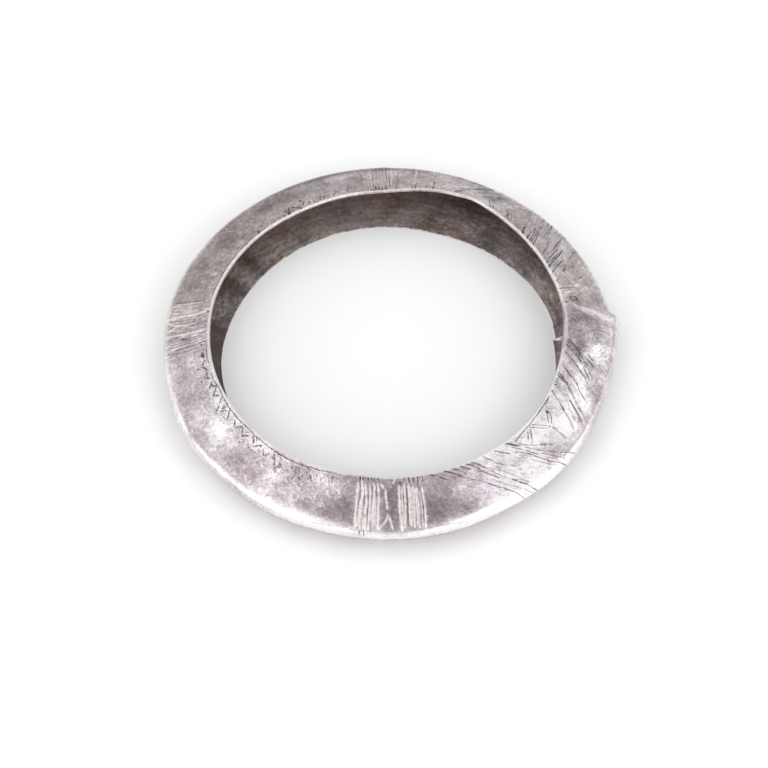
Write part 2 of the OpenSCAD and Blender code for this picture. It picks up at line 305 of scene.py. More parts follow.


# The cut lines

# Each line: width and depth in mm, tone (-1 black with dirt, and along the ridge's crease a painted dark
# reflection; 1 rubbed bright), then its way as pairs of degrees round the band and mm down from the upper rim.
CUTS = {
    "line along the rim": (
        (0.24, 0.11, -0.9, (184.9, 0.1, 187, 0.3, 190, 0.35, 192.6, 0.3)),
        (0.26, 0.12, -1.0, (195.8, 0.4, 199, 0.4, 200.5, 0.25, 202, 0.12, 204, 0.1, 206, 0.25, 209, 0.32,
         211, 0.38, 214, 0.3, 216, 0.36, 218, 0.25, 220, 0.2, 223, 0.3, 226, 0.4, 230, 0.5, 232.5, 0.52)),
        (0.36, 0.15, -1.0, (232.2, 0.55, 235, 0.62, 238, 0.66, 240, 0.7, 243, 0.6, 246, 0.52, 249, 0.48)),
        (0.22, 0.09, -0.9, (248, 0.5, 251, 0.36, 253, 0.4, 256, 0.55, 258.8, 0.5)),
        (0.18, 0.08, -0.9, (129.5, 0.1, 132, 0.12, 135, 0.1, 138, 0.16, 141, 0.16, 143, 0.02)),
        (0.27, 0.11, -1.0, (142.6, 0.02, 145, 0.2, 148, 0.2, 151, 0.3, 154, 0.2, 157, 0.12, 160, 0.14,
         163, 0.16, 166, 0.28)),
        (0.30, 0.13, -1.0, (312.2, 0.82, 314, 0.55, 316, 0.36, 318, 0.27, 320, 0.2, 322, 0.12, 325, 0.06,
         328, 0.02, 331, 0.04, 333.6, 0.14)),
    ),
    "small marks by the rim, at the back": (
        (0.45, 0.12, -1, (101.4, 1.4, 102.5, 1.8)), (0.43, 0.12, -1, (103.8, 0.6, 102.6, 1.7)),
        (0.47, 0.12, -1, (102.7, 1.6, 102.5, 2.7)), (0.51, 0.13, -1, (105.8, 0.9, 106.7, 1.45)),
        (0.45, 0.13, -1, (108.4, 0.2, 107, 1.4)), (0.58, 0.13, -1, (106.9, 1.3, 107.3, 2.5)),
        (0.54, 0.12, -1, (110.7, 1.2, 111.5, 0.5)), (0.51, 0.12, -1, (113.0, 0.3, 111.8, 1.4)),
        (0.51, 0.1, -0.8, (111.6, 2.0, 111.5, 2.5)), (0.45, 0.1, -0.9, (113.8, 0.1, 114.9, 0.9)),
        (0.54, 0.12, -1, (116.7, 0.4, 115.9, 1.4)), (0.58, 0.13, -1, (118.8, 0.7, 117.0, 2.1)),
        (0.90, 0.13, -1, (118.1, 1.9, 118.5, 2.8)), (0.75, 0.12, -1, (119.7, 0.1, 121.2, 1.1)),
        (0.90, 0.12, -1, (121.2, 1.1, 122, 1.8)), (0.75, 0.13, -1, (124.2, 0.0, 123.5, 1.1, 122.4, 2.1)),
        (0.69, 0.12, -1, (124.8, 0.9, 123.7, 2.1)), (0.45, 0.1, -0.9, (122.6, 2.3, 122.5, 2.9)),
        (0.51, 0.11, -0.9, (125.8, 0.1, 126.6, 0.7)), (0.45, 0.1, -0.8, (127.6, 0.1, 128.2, 0.8)),
        (0.66, 0.12, -1, (129.6, 0.2, 130.0, 0.8)), (0.75, 0.12, -1, (131.8, 0.8, 132.4, 1.0)),
        (0.47, 0.11, -0.9, (133.3, 1.3, 134.3, 0.7)), (0.62, 0.12, -1, (136.6, 0.1, 136.1, 1.0)),
        (0.41, 0.07, 0.9, (142.0, 1.7, 142.7, 2.1)),
        (0.48, 0.07, 0.8, (156.2, 1.1, 157.2, 1.8, 158.2, 2.4)),
        (0.36, 0.07, 0.6, (161.8, 0.9, 163.0, 1.8)),
    ),
    "group on the left: bright lines, and a branch with its fork down": (
        (0.36, 0.08, 0.64, (168.3, 1.8, 168.6, 5, 168.8, 7.2)),
        (0.26, 0.06, 0.4, (169.4, 2.4, 169.7, 6.6)), (0.26, 0.06, 0.48, (170.2, 3.4, 170.5, 7)),
        (0.29, 0.07, 0.48, (170.9, 2, 171.1, 6.4)), (0.29, 0.07, 0.48, (171.5, 3.8, 171.7, 7.4)),
        (0.73, 0.16, 0.8, (171.6, 0.1, 172.3, 1.4, 172.7, 2.8, 173.0, 5, 173.3, 6.6, 173.6, 8.9)),
        (0.5, 0.16, -1, (172.3, -0.2, 172.4, 0.6)), (0.34, 0.10, -0.5, (173.7, 3.2, 173.9, 6)),
        (0.52, 0.11, 0.8, (175.8, 2.3, 176.1, 4, 175.9, 6)),
        (0.47, 0.1, 0.72, (176, 5.8, 175, 7.3, 173.7, 8.4)),
        (0.49, 0.1, 0.8, (176.2, 5.9, 177, 7, 177.7, 8.1)),
        (0.73, 0.13, 0.72, (178.9, 0.2, 179.2, 2, 179.3, 5, 179.1, 8)),
        (0.40, 0.12, -0.9, (180.1, 0.3, 180.4, 1.8)), (0.5, 0.10, -0.8, (181.4, 3.7, 180.9, 5.2)),
        (0.31, 0.07, 0.56, (181.5, 1.4, 181.8, 7)), (0.34, 0.08, 0.64, (182.2, 0.7, 182.6, 6.8)),
        (0.34, 0.08, 0.56, (183.2, 0.9, 183.6, 7.6)), (0.36, 0.12, -1, (183.7, 0.1, 184, 1.9)),
        (0.39, 0.08, 0.56, (184.6, 0.9, 184.9, 5.4)), (0.29, 0.06, 0.4, (185.8, 1.8, 186.0, 6)),
        (0.36, 0.10, -0.9, (184.8, 0.9, 185, 1.4)), (0.36, 0.10, -0.9, (186.9, 0.6, 186.6, 1.2)),
    ),
    "zigzag by the rim, from the left to the front": (
        (0.46, 0.12, -0.9, (184.7, 1.0, 185.0, 1.5)), (0.44, 0.12, -1, (186.9, 0.6, 186.7, 1.1)),
        (0.51, 0.13, -1, (187.4, 1.0, 188.5, 1.35, 189.3, 1.5)),
        (0.53, 0.13, -1, (189.0, 1.4, 190.0, 0.7)), (0.39, 0.11, -0.9, (188.0, 1.0, 189.6, 0.9)),
        (0.39, 0.07, 0.8, (187.9, 1.8, 188.8, 1.95)), (0.39, 0.12, -1, (190.7, 0.8, 192.5, 1.7)),
        (0.34, 0.11, -1, (191.2, 1.1, 192.6, 1.35)), (0.44, 0.12, -1, (193.0, 1.7, 194.8, 0.8)),
        (0.57, 0.11, -1, (192.8, 1.3, 193.2, 1.6)), (0.53, 0.11, -1, (192.9, 2.2, 193.3, 2.9)),
        (0.39, 0.12, -1, (195.5, 0.9, 196.6, 1.6)), (0.53, 0.13, -1, (196.4, 1.5, 197.2, 1.95)),
        (0.44, 0.12, -1, (197.2, 1.6, 198.2, 0.7)), (0.3, 0.1, -0.9, (196.2, 1.1, 197.3, 1.2)),
        (0.48, 0.11, -1, (197.5, 2.9, 198.1, 2.2)), (0.39, 0.12, -1, (199.0, 0.7, 201.4, 1.8)),
        (0.57, 0.13, -1, (200.2, 1.0, 201.2, 0.9)), (0.55, 0.13, -1, (201.1, 1.1, 201.6, 0.2)),
        (0.41, 0.12, -1, (201.7, 0.4, 204.3, 1.7)), (0.44, 0.12, -1, (204.1, 1.7, 205.4, 0.6)),
        (0.67, 0.12, -1, (202.9, 0.95, 203.6, 0.85)), (0.44, 0.1, -0.9, (204.5, 2.3, 205.0, 2.8)),
        (0.48, 0.12, -1, (205.9, 0.3, 207.8, 1.4)),
        (0.39, 0.12, -1, (207.9, 1.4, 208.7, 2.1, 209.4, 2.7)),
        (0.57, 0.12, -1, (208.9, 2.2, 209.4, 2.5)), (0.39, 0.12, -1, (209.8, 2.1, 211.4, 0.8)),
        (0.34, 0.11, -1, (209.1, 1.3, 209.6, 0.95, 209.9, 1.25, 209.5, 1.5, 209.1, 1.3)),
        (0.41, 0.12, -1, (211.5, 0.5, 213.2, 1.5, 213.9, 2.3)),
        (0.3, 0.1, -0.9, (214.0, 1.9, 215.4, 0.9)), (0.48, 0.11, -0.9, (213.7, 2.7, 214.1, 2.9)),
        (0.39, 0.12, -1, (215.4, 0.8, 217.4, 2.0)), (0.46, 0.12, -1, (217.5, 1.8, 218.9, 0.6)),
        (0.48, 0.11, -0.9, (217.6, 2.3, 217.8, 2.8)), (0.34, 0.11, -1, (219.1, 0.6, 221.1, 2.1)),
        (0.57, 0.14, -1, (221.0, 2.1, 222.8, 1.0)), (0.28, 0.09, -0.8, (220.8, 1.4, 222.0, 0.6)),
        (0.69, 0.12, -1, (221.9, 3.0, 222.3, 3.2)), (0.34, 0.11, -1, (223.6, 0.5, 224.8, 1.2)),
        (0.57, 0.14, -1, (224.5, 1.0, 225.7, 1.65)), (0.51, 0.11, -0.9, (225.6, 2.1, 226.6, 1.95)),
        (0.32, 0.11, -1, (226.5, 1.9, 227.9, 0.9)), (0.48, 0.12, -1, (227.7, 1.0, 228.5, 1.5)),
        (0.51, 0.1, -0.9, (225.9, 2.75, 226.4, 2.9)), (0.25, 0.09, -0.8, (228.8, 1.2, 230.6, 2.3)),
        (0.28, 0.09, -0.8, (230.4, 2.4, 231.8, 1.2)), (0.6, 0.11, -1, (231.5, 3.7, 231.9, 3.75)),
        (0.34, 0.11, -0.8, (232.3, 0.6, 234, 1.9, 235.4, 3.0, 236.7, 4.0)),
        (0.3, 0.1, -0.8, (236.3, 1.8, 235.8, 3.0)), (0.25, 0.09, -0.7, (236.9, 2.4, 235.5, 3.1)),
        (0.23, 0.08, -0.7, (233.2, 2.2, 234.2, 1.3)), (0.64, 0.12, -1, (238.1, 2.0, 238.5, 2.0)),
        (0.39, 0.1, -1, (240.1, 3.3, 240.7, 4.1)), (0.28, 0.09, -0.7, (239.4, 1.0, 240.6, 2.4)),
        (0.23, 0.08, -0.7, (240.8, 1.2, 241.6, 2.6)), (0.44, 0.11, -1, (242.1, 1.4, 242.4, 2.0)),
        (0.69, 0.12, -1, (242.7, 2.4, 243.1, 2.2)), (0.53, 0.11, -1, (243.5, 2.3, 244.3, 2.5)),
        (0.48, 0.1, -0.8, (243.3, 3.6, 243.8, 3.8)), (0.3, 0.09, -0.8, (241.6, 3.0, 242.6, 3.4)),
        (0.41, 0.11, -1, (244.1, 1.6, 245.2, 1.35)), (0.64, 0.12, -1, (244.7, 0.9, 245.2, 1.0)),
        (0.41, 0.11, -1, (245.7, 1.8, 247.0, 2.8)), (0.51, 0.11, -1, (247.3, 3.8, 247.6, 4.4)),
        (0.32, 0.07, 0.7, (245.9, 1.0, 247.2, 2.3)), (0.39, 0.07, 0.7, (248.6, 1.4, 249.6, 2.6)),
        (0.48, 0.11, -1, (250.7, 1.3, 251.3, 1.2)), (0.57, 0.13, -1, (252.1, 1.6, 253.0, 0.8)),
        (0.46, 0.11, -0.9, (254.0, 1.2, 254.3, 1.4)), (0.39, 0.1, -1, (255.2, 1.0, 256.4, 0.8)),
        (0.46, 0.07, 0.8, (250.0, 1.6, 250.9, 2.2)), (0.39, 0.07, 0.7, (251.4, 2.0, 252.3, 2.6)),
        (0.46, 0.08, 0.8, (254.4, 1.8, 255.2, 2.3)), (0.46, 0.08, 0.8, (255.5, 2.6, 256.1, 3.2)),
        (0.3, 0.08, 0.6, (252.3, 3.2, 252.8, 4.2)), (0.46, 0.1, -0.8, (248.2, 10.0, 248.9, 10.1)),
        (0.39, 0.09, -0.6, (237.4, 8.2, 238.4, 7.9)), (0.39, 0.09, -0.6, (253.5, 9.8, 254.1, 9.9)),
    ),
    # A shallow crease whose dark tone paints the dark line that the ridge mirrors between the lamps and the
    # floor.
    "worn crease along the top of the ridge": (
        (0.24, 0.04, -0.28, (205, 8.9, 212, 9.1, 220, 9.3, 228, 9.5)),
        (0.24, 0.04, -0.32, (228, 9.5, 236, 9.8, 244, 9.8, 250, 9.75)),
        (0.27, 0.05, -0.49, (250, 9.75, 256, 9.6, 260, 9.5)), (0.27, 0.05, -0.49, (267, 9.5, 273, 9.5)),
        (0.27, 0.05, -0.49, (279, 9.45, 284, 9.5, 288, 9.6, 292, 9.7)),
        (0.24, 0.05, -0.35, (292, 9.7, 297, 9.9, 302, 10.1)),
        (0.24, 0.04, -0.28, (302, 10.1, 308, 10.2, 314, 10.2, 322, 10.1)),
    ),
    "first hatched band, at the front": (
        (0.50, 0.12, 1.0, (260.5, 1.0, 260.9, 2.4, 261.0, 4.2, 261.2, 6.2, 261.6, 9.3)),
        (0.62, 0.12, 1.0, (261.5, 0.5, 262.3, 2.6, 262.5, 5.3, 262.6, 7.2, 262.9, 9.6)),
        (0.34, 0.10, 0.8, (262.2, 3.6, 262.0, 5.6, 262.1, 9.2)),
        (0.46, 0.12, 1.0, (262.8, 1.0, 263.5, 3.4, 263.8, 6.2, 264.2, 9.8)),
        (0.34, 0.10, 0.9, (263.5, 5.0, 263.4, 7.4, 263.6, 9.6)),
        (0.40, 0.11, 1.0, (264.2, 1.2, 264.6, 3.7, 264.8, 6.6, 265.0, 9.6)),
        (0.46, 0.11, 0.8, (265.3, 0.8, 265.8, 4.2, 266.0, 6.9, 266.0, 9.5)),
        (0.30, 0.10, 1.0, (265.9, 1.4, 265.4, 4.6, 265.5, 8.0)),
        (0.48, 0.12, 1.0, (266.5, 0.8, 267.0, 3.3, 267.1, 6.0, 267.2, 9.2)),
        (0.28, 0.09, 0.7, (266.4, 3.2, 266.4, 6.0, 266.6, 8.8)),
        (0.16, 0.10, -0.8, (261.2, 0.8, 261.8, 3.4, 261.7, 5.4, 261.8, 9.4)),
        (0.14, 0.10, -0.7, (262.7, 2.2, 263.1, 4.6, 263.1, 7.2)),
        (0.14, 0.10, -0.7, (264.0, 2.2, 264.3, 5.0, 264.5, 8.4)),
        (0.14, 0.10, -0.7, (265.0, 1.2, 265.3, 4.6, 265.4, 8.4)),
        (0.14, 0.10, -0.7, (266.2, 1.4, 266.5, 5.2, 266.6, 8.8)),
        (0.38, 0.14, -1.0, (260.9, -0.1, 261.2, 1.2)), (0.44, 0.14, -1.0, (261.9, -0.2, 262.1, 1.0)),
        (0.34, 0.13, -1.0, (262.6, -0.1, 262.7, 0.5)), (0.40, 0.13, -1.0, (263.4, 0.0, 263.6, 0.8)),
        (0.36, 0.13, -1.0, (264.5, 0.1, 264.6, 0.7)), (0.30, 0.13, -1.0, (265.3, 0.0, 265.4, 0.7)),
        (0.34, 0.13, -1.0, (266.5, 0.0, 266.6, 0.7)), (0.26, 0.13, -1.0, (262.7, 9.6, 262.8, 10.7)),
        (0.28, 0.13, -1.0, (263.8, 9.5, 263.9, 10.6)), (0.26, 0.12, -0.9, (265.4, 9.3, 265.4, 10.0)),
        (0.2, 0.1, -0.8, (264.6, 9.8, 264.7, 10.3)), (0.2, 0.1, -0.8, (280.7, 10.4, 280.7, 11.2)),
        # These two long lines carry the crease's painted dark reflection on along the ridge.
        (0.24, 0.05, -0.5, (259.6, 9.65, 263, 9.75, 267.4, 9.65)),
        (0.24, 0.05, -0.5, (272.4, 9.6, 276, 9.65, 279.6, 9.5)),
    ),
    "two Ys, foot to foot, between the hatched bands": (
        (0.44, 0.11, 0.9, (267.4, 0.9, 268.1, 1.5, 268.8, 2.1)),
        (0.28, 0.10, 1.0, (271.8, 0.1, 271.3, 0.7, 270.9, 1.1)),
        (0.46, 0.11, 0.9, (270.8, 1.2, 270.3, 1.8)), (0.32, 0.08, 0.8, (268.7, 2.1, 269.6, 2.15)),
        (0.52, 0.12, 1.0, (268.9, 2.1, 269.1, 3.2, 269.3, 4.4, 269.5, 5.8)),
        (0.20, 0.12, -0.8, (269.4, 5.9, 269.8, 6.5)),
        (0.16, 0.10, -0.7, (269.3, 2.6, 269.6, 4.2, 269.8, 5.6)),
        (0.50, 0.10, 1.0, (269.6, 6.4, 269.4, 7.2, 268.9, 8.1, 267.8, 8.9, 267.3, 9.4)),
        (0.48, 0.10, 1.0, (269.7, 6.6, 270.2, 7.4, 270.5, 8.2, 271.0, 9.4)),
    ),
    "second hatched band": (
        (0.58, 0.12, 1.0, (272.9, 1.1, 272.8, 3.6, 272.8, 5.6, 273.0, 8.0, 273.1, 9.7)),
        (0.46, 0.10, 0.7, (273.8, 1.4, 273.6, 4.4, 273.6, 8.8)),
        (0.50, 0.11, 0.9, (274.5, 0.9, 274.3, 5.1, 273.9, 9.2)),
        (0.50, 0.12, 1.0, (275.8, 1.0, 275.7, 3.4, 275.4, 6.6, 275.5, 9.0)),
        (0.44, 0.10, 0.7, (276.4, 1.6, 276.1, 5.0, 276.0, 8.6)),
        (0.54, 0.12, 0.9, (277.1, 1.4, 276.8, 4.0, 276.6, 6.2, 276.2, 9.3)),
        (0.54, 0.11, 0.8, (278.1, 1.8, 277.9, 5.4, 277.3, 9.3)),
        (0.30, 0.10, 1.0, (277.7, 2.0, 277.4, 5.4, 277.0, 9.0)),
        (0.48, 0.12, 1.0, (279.6, 1.8, 279.6, 4.6, 279.3, 7.3, 278.8, 9.4)),
        (0.30, 0.10, 0.8, (278.8, 2.6, 278.7, 6.2, 278.2, 9.2)),
        (0.34, 0.08, 0.9, (279.2, 7.2, 280.3, 7.6)),
        (0.14, 0.10, -0.7, (274.1, 1.6, 274.0, 5.4, 273.6, 8.6)),
        (0.22, 0.10, -0.8, (274.9, 1.0, 275.0, 4.0, 274.7, 8.4)),
        (0.14, 0.10, -0.7, (276.8, 2.0, 276.4, 6.0, 275.9, 8.8)),
        (0.16, 0.10, -0.7, (279.0, 1.8, 279.1, 5.0, 278.7, 8.6)),
        (0.50, 0.14, -1.0, (273.4, 0.4, 273.2, 1.2)), (0.34, 0.13, -1.0, (274.7, -0.1, 274.6, 0.6)),
        (0.5, 0.14, -1.0, (276.0, -0.2, 276.1, 1.2)), (0.50, 0.14, -1.0, (277.4, -0.2, 277.4, 1.3)),
        (0.48, 0.14, -1.0, (278.8, -0.1, 278.6, 1.7)), (0.44, 0.13, -1.0, (280.3, 0.1, 280.2, 1.2)),
    ),
    "long slanting lines, on the right of the front": (
        (0.38, 0.13, -1, (283.1, 0.1, 284.3, 0.45)),
        (0.22, 0.10, -0.9, (284.0, 0.4, 285.5, 0.8, 287.3, 1.6, 289.2, 2.1)),
        (0.34, 0.11, -1, (285.6, 1.0, 287.5, 1.6)),
        (0.26, 0.09, -0.8, (286, 0.4, 288, 1.0, 290.4, 1.7, 291.7, 2.0)),
        (0.44, 0.14, -1, (287.5, 0.0, 289, 0.55, 290.7, 1.2, 292.4, 1.95)),
        (0.24, 0.10, -1, (292.2, 1.9, 294.9, 3.1, 297.6, 4.2, 300.6, 6.2, 303, 7.8, 304.6, 9.3, 305.4,
         10.2)),
        (0.34, 0.12, -1, (290.5, 0.0, 292.2, 0.7, 293.9, 1.7)),
        (0.48, 0.14, -1, (292.5, -0.2, 294, 0.5, 295.6, 1.25)),
        (0.42, 0.13, -1, (294.8, -0.1, 296.2, 0.5, 297.4, 1.2)),
        (0.28, 0.11, -1, (297.2, 1.1, 298.6, 2.4, 300.3, 3.6, 301.9, 4.7)),
        (0.36, 0.12, -1, (296.3, 0.0, 298.2, 0.8, 300.0, 2.1)),
        (0.22, 0.09, -0.9, (299.8, 2.0, 302.4, 4.2, 304.6, 5.9)),
        (0.22, 0.09, -0.9, (297, 1.9, 298.8, 2.6, 300.4, 3.7, 303.4, 5.5)),
        (0.20, 0.08, -0.8, (299.4, 4.0, 302.3, 6.0, 305.4, 8.2, 308.3, 10.2)),
        (0.34, 0.12, -1, (304.6, 5.8, 306.4, 7.3, 307.8, 8.6, 309.5, 10.3)),
        (0.18, 0.07, -0.7, (296.6, 4.0, 299.6, 5.6, 302.4, 7.1)),
        (0.18, 0.07, -0.6, (303.2, 7.0, 305.2, 8.6, 306.6, 9.9)),
        (0.40, 0.05, -0.45, (297.8, 1.4, 300.6, 2.2, 302.8, 3.2)),
        (0.44, 0.05, -0.5, (302.6, 3.1, 304.8, 4.6, 306.6, 6.2, 308.6, 8.4)),
        (0.36, 0.12, -1, (300.8, -0.1, 302, 0.9, 302.6, 1.2, 303.6, 2.3)),
        (0.24, 0.09, -0.9, (303.5, 2.2, 304.7, 2.8, 305.7, 3.6)),
        (0.18, 0.07, -0.6, (305.6, 3.6, 307, 4.1, 308.7, 4.8)),
        (0.40, 0.10, -0.9, (308.4, 4.9, 308.5, 5.5)),
        (0.40, 0.13, -1, (305.3, 0.1, 306.8, 0.9, 309.0, 2.2)),
        (0.36, 0.10, -0.9, (310.3, 6.8, 310.7, 7.0)), (0.16, 0.06, -0.5, (310.8, 7.2, 312.8, 8.4)),
        (0.44, 0.13, -1, (309.6, -0.1, 311, 0.9, 312.5, 1.8)),
        (0.26, 0.10, -1, (310.2, 1.0, 312, 2.2, 313.4, 3.2, 314.4, 4.2)),
        (0.38, 0.12, -1, (314.2, 4.0, 315.5, 5.2)),
        (0.28, 0.11, -1, (312.7, 1.2, 314.9, 2.6, 316.5, 3.4)),
        (0.22, 0.09, -0.8, (316.3, 3.2, 318, 4.3)), (0.56, 0.12, -0.9, (317.8, 3.8, 319.9, 5.2)),
        (0.34, 0.10, -0.9, (319.8, 5.1, 321.0, 5.7)),
        (0.30, 0.10, -0.9, (310.2, 2.2, 313, 3.7, 315, 5.6, 316.8, 7.6, 318.4, 8.7, 319.8, 10.2)),
        (0.24, 0.09, -0.8, (312.6, 4.8, 314.6, 6.6, 316.7, 8.5)),
        (0.22, 0.08, -0.8, (310.4, 0.2, 313, 1.9, 316.4, 4.5, 320, 7.3)),
        (0.32, 0.10, -0.7, (320.0, 7.3, 322, 8.5, 324.0, 9.9)),
        (0.20, 0.08, -0.7, (316.0, 5.0, 318.2, 7.0, 320.6, 9.2)),
    ),
    "double zigzag, with its stem": (
        (0.36, 0.12, -1, (318.2, 0.7, 316.1, 2.1)), (0.34, 0.12, -1, (319.3, 0.7, 317.0, 2.6)),
        (0.22, 0.09, -0.8, (317.1, 2.5, 315.9, 3.0)),
        (0.28, 0.11, -1, (319.5, 0.4, 321, 1.5, 323.9, 3.3)),
        (0.30, 0.11, -1, (320.8, 0.4, 322.6, 1.8, 324.4, 3.0)),
        (0.50, 0.12, -0.8, (323.9, 3.1, 325.0, 3.2)),
        (0.30, 0.11, -1, (324.9, 2.7, 326.3, 1.8, 328.2, 0.8)),
        (0.26, 0.11, -1, (325.2, 3.2, 327.2, 2.3, 328.4, 1.3)), (0.5, 0.11, -1, (327.5, 1.7, 328.2, 0.9)),
        (0.26, 0.10, -0.9, (324.8, 3.3, 324.9, 5, 324.8, 7.0)),
        (0.16, 0.07, -0.5, (329.0, 0.9, 331.5, 3.3)),
    ),
    "group on its right, leaning the other way": (
        (0.42, 0.14, -1, (335.9, -0.3, 334.5, 1.0)),
        (0.22, 0.1, -0.9, (334.7, 0.8, 333.5, 1.9, 331.8, 3.4)),
        (0.32, 0.1, -0.9, (332.2, 3.0, 331.4, 3.8)),
        (0.24, 0.09, -0.8, (331.6, 3.6, 330, 5.4, 328.2, 7.0)),
        (0.2, 0.1, -0.9, (338.4, 0.5, 336, 3, 334.5, 4.6, 333, 6, 331.8, 7.2)),
        (0.2, 0.1, -0.9, (339.3, 0.5, 337, 2.8, 335, 4.4, 333.2, 6.0)),
        (0.26, 0.12, -1, (340.4, 1.9, 338.4, 3.4, 335.8, 5.1, 334.2, 6.8)),
        (0.39, 0.13, -1, (342.4, -0.3, 340.2, 1.7)),
        (0.37, 0.13, -1, (343.4, -0.2, 341.2, 1.5, 340.0, 2.3)),
        (0.42, 0.12, -1, (338.0, -0.2, 338.6, 0.6)), (0.42, 0.12, -1, (339.6, -0.3, 339.2, 0.6)),
        (0.37, 0.12, -1, (341.0, -0.3, 340.3, 0.6)), (0.34, 0.09, -0.8, (343.4, 0.6, 344.0, 1.0)),
        (0.17, 0.08, -0.6, (334.6, 3.4, 332.4, 5.0, 330.4, 6.6)),
        (0.17, 0.08, -0.6, (335.0, 5.6, 333.4, 7.2, 331.8, 8.2)),
        (0.24, 0.11, -1, (347.2, -0.3, 345.5, 0.9)), (0.37, 0.13, -1, (345.7, 0.7, 344, 2.0, 343.4, 2.8)),
        (0.22, 0.1, -0.9, (343.5, 2.6, 342.2, 3.8, 340.5, 4.4, 339.4, 5.2, 338.0, 6.3)),
        (0.27, 0.12, -1, (352.1, -0.1, 349.8, 1.4, 347.8, 2.9, 345.3, 4.5)),
        (0.19, 0.09, -0.8, (345.5, 4.4, 343.2, 6.0, 341.2, 7.4)),
        (0.26, 0.12, -1, (355.2, -0.2, 352, 1.8, 349.5, 3.4, 347, 4.7, 344.8, 5.8)),
        (0.22, 0.11, -1, (355.9, 0.0, 353, 1.7, 350.5, 3.2, 348.4, 4.7)),
        (0.24, 0.11, -1, (356.6, 0.2, 353.5, 2.1, 351, 3.6, 348.8, 5.2)),
        (0.22, 0.11, -1, (357.3, 0.3, 354.4, 2.0, 352.2, 3.4, 349.8, 5.0)),
        (0.19, 0.09, -0.9, (353.6, 3.0, 351.4, 4.5, 349.2, 6.0)),
        (0.19, 0.09, -0.9, (354.0, 3.8, 351.4, 5.4)), (0.26, 0.08, -0.7, (347.6, 5.0, 345.8, 6.4)),
        (0.26, 0.08, 1, (357.8, 0.8, 356.0, 1.7)), (0.22, 0.08, 1, (358.2, 1.1, 356.7, 1.8)),
        (0.2, 0.08, 0.9, (359.0, 0.9, 357.8, 1.0)), (0.15, 0.06, 0.6, (353.0, 2.6, 351.0, 4.0)),
        (0.17, 0.07, -0.6, (350.0, 5.8, 350.8, 7.2)), (0.17, 0.07, -0.6, (352.4, 5.2, 353.2, 6.8)),
        (0.22, 0.08, -0.7, (354.6, 5.8, 355.8, 6.9)), (0.22, 0.08, -0.7, (354.4, 6.5, 355.4, 7.5)),
        (0.17, 0.07, -0.6, (356.4, 4.4, 358.0, 7.4)), (0.17, 0.07, -0.6, (358.4, 4.0, 360.0, 7.4)),
        (0.6, 0.05, -0.35, (359.7, 2.9, 361.1, 4.2, 362.9, 6.4)),
        (0.36, 0.09, -0.9, (366.6, 3.0, 367.0, 3.2)),
    ),
    "lines along the lapped end": (
        (0.46, 0.06, 0.95, (371.2, 1.2, 370.2, 2.5, 369.2, 4.2, 368.0, 6.0, 366.7, 7.6, 365.2, 9.3)),
        (0.24, 0.06, -0.5, (371.6, 1.4, 370.2, 4.2, 368.4, 7.0)),
        (0.24, 0.06, -0.4, (370.4, 1.6, 369.2, 3.4, 367.8, 5.4, 366.4, 7.2)),
        (0.3, 0.06, 0.7, (372.2, 1.2, 371.2, 3.0, 370.2, 4.6)),
    ),
    "marks beyond the joint, and lines leaning back": (
        (0.46, 0.11, -0.9, (12.7, 1.6, 13.4, 1.35, 14.1, 1.7, 14.3, 2.3)),
        (0.54, 0.13, -1, (14.3, 2.2, 13.6, 2.8, 12.8, 2.6, 12.5, 2.0)),
        (0.40, 0.13, -1, (11.4, 0.15, 12.3, 0.8)), (0.36, 0.06, 0.8, (13.4, 0.1, 12.7, 0.9, 12.0, 1.8)),
        (0.36, 0.11, -1, (17.3, -0.2, 17.6, 1, 17.5, 3.3)), (0.26, 0.08, -0.7, (16.2, 1.0, 17.2, 2.6)),
        (0.36, 0.09, -0.8, (19.3, 2.3, 19.8, 2.8)), (0.36, 0.12, -1, (20.3, -0.3, 21.6, 0.9)),
        (0.3, 0.07, -0.5, (21.4, 0.9, 24.0, 1.6)), (0.44, 0.12, -1, (23.9, 2.2, 25.3, 3.0)),
        (0.24, 0.08, -0.7, (25.1, 2.9, 26.8, 3.8)),
        (0.28, 0.11, -1, (23.7, -0.3, 25.5, 1.0, 27.4, 2.6, 28.4, 3.6)),
        (0.26, 0.09, -0.8, (28.0, 4.8, 29.3, 6.0, 30.5, 7.4, 32.4, 10.4)),
        (0.38, 0.12, -1, (25.9, -0.4, 28.4, 1.4, 30.8, 3.9, 32.2, 5.2)),
        (0.26, 0.11, -1, (26.8, -0.1, 29.0, 2.0, 30.4, 3.5)),
        (0.42, 0.13, -1, (27.9, -0.4, 30.4, 1.5, 32.8, 4.3)),
        (0.26, 0.10, -1, (28.2, 0.2, 30.0, 2.2, 31.4, 3.9)),
        (0.34, 0.12, -1, (31.8, 0.0, 33.6, 1.6, 36.4, 3.8)),
        (0.24, 0.09, -0.8, (31.0, 0.9, 33.4, 3.8, 35.0, 5.8, 36.8, 9.0, 37.6, 10.6)),
        (0.22, 0.08, -0.7, (34.6, 5.0, 36.8, 7.6, 38.8, 10.2)),
        (0.38, 0.13, -1, (36.6, -0.1, 38.4, 1.5, 40.9, 3.8)),
        (0.32, 0.13, -1, (37.9, -0.1, 39.6, 1.7, 41.6, 3.8)),
        (0.36, 0.12, -1, (38.7, -0.1, 40.6, 1.9, 42.6, 3.7)),
        (0.34, 0.12, -1, (39.4, -0.4, 40.9, 1.0, 42.4, 2.5)), (0.3, 0.11, -1, (40.0, -0.3, 41.1, 0.8)),
        (0.2, 0.08, -0.7, (41.4, 4.1, 43.0, 6.0, 44.5, 7.9)),
        (0.2, 0.08, -0.7, (43.1, 3.7, 45.2, 6.2, 47.7, 9.1)),
        (0.2, 0.08, -0.7, (38.6, 3.8, 40.6, 6.4, 42.4, 9.0)),
        (0.34, 0.11, -1, (50.0, 0.8, 50.9, 1.0, 51.0, 2.1)),
        (0.44, 0.05, -0.5, (69.5, 0.6, 65.7, 2.8, 62.4, 5.2, 59.3, 7.6)),
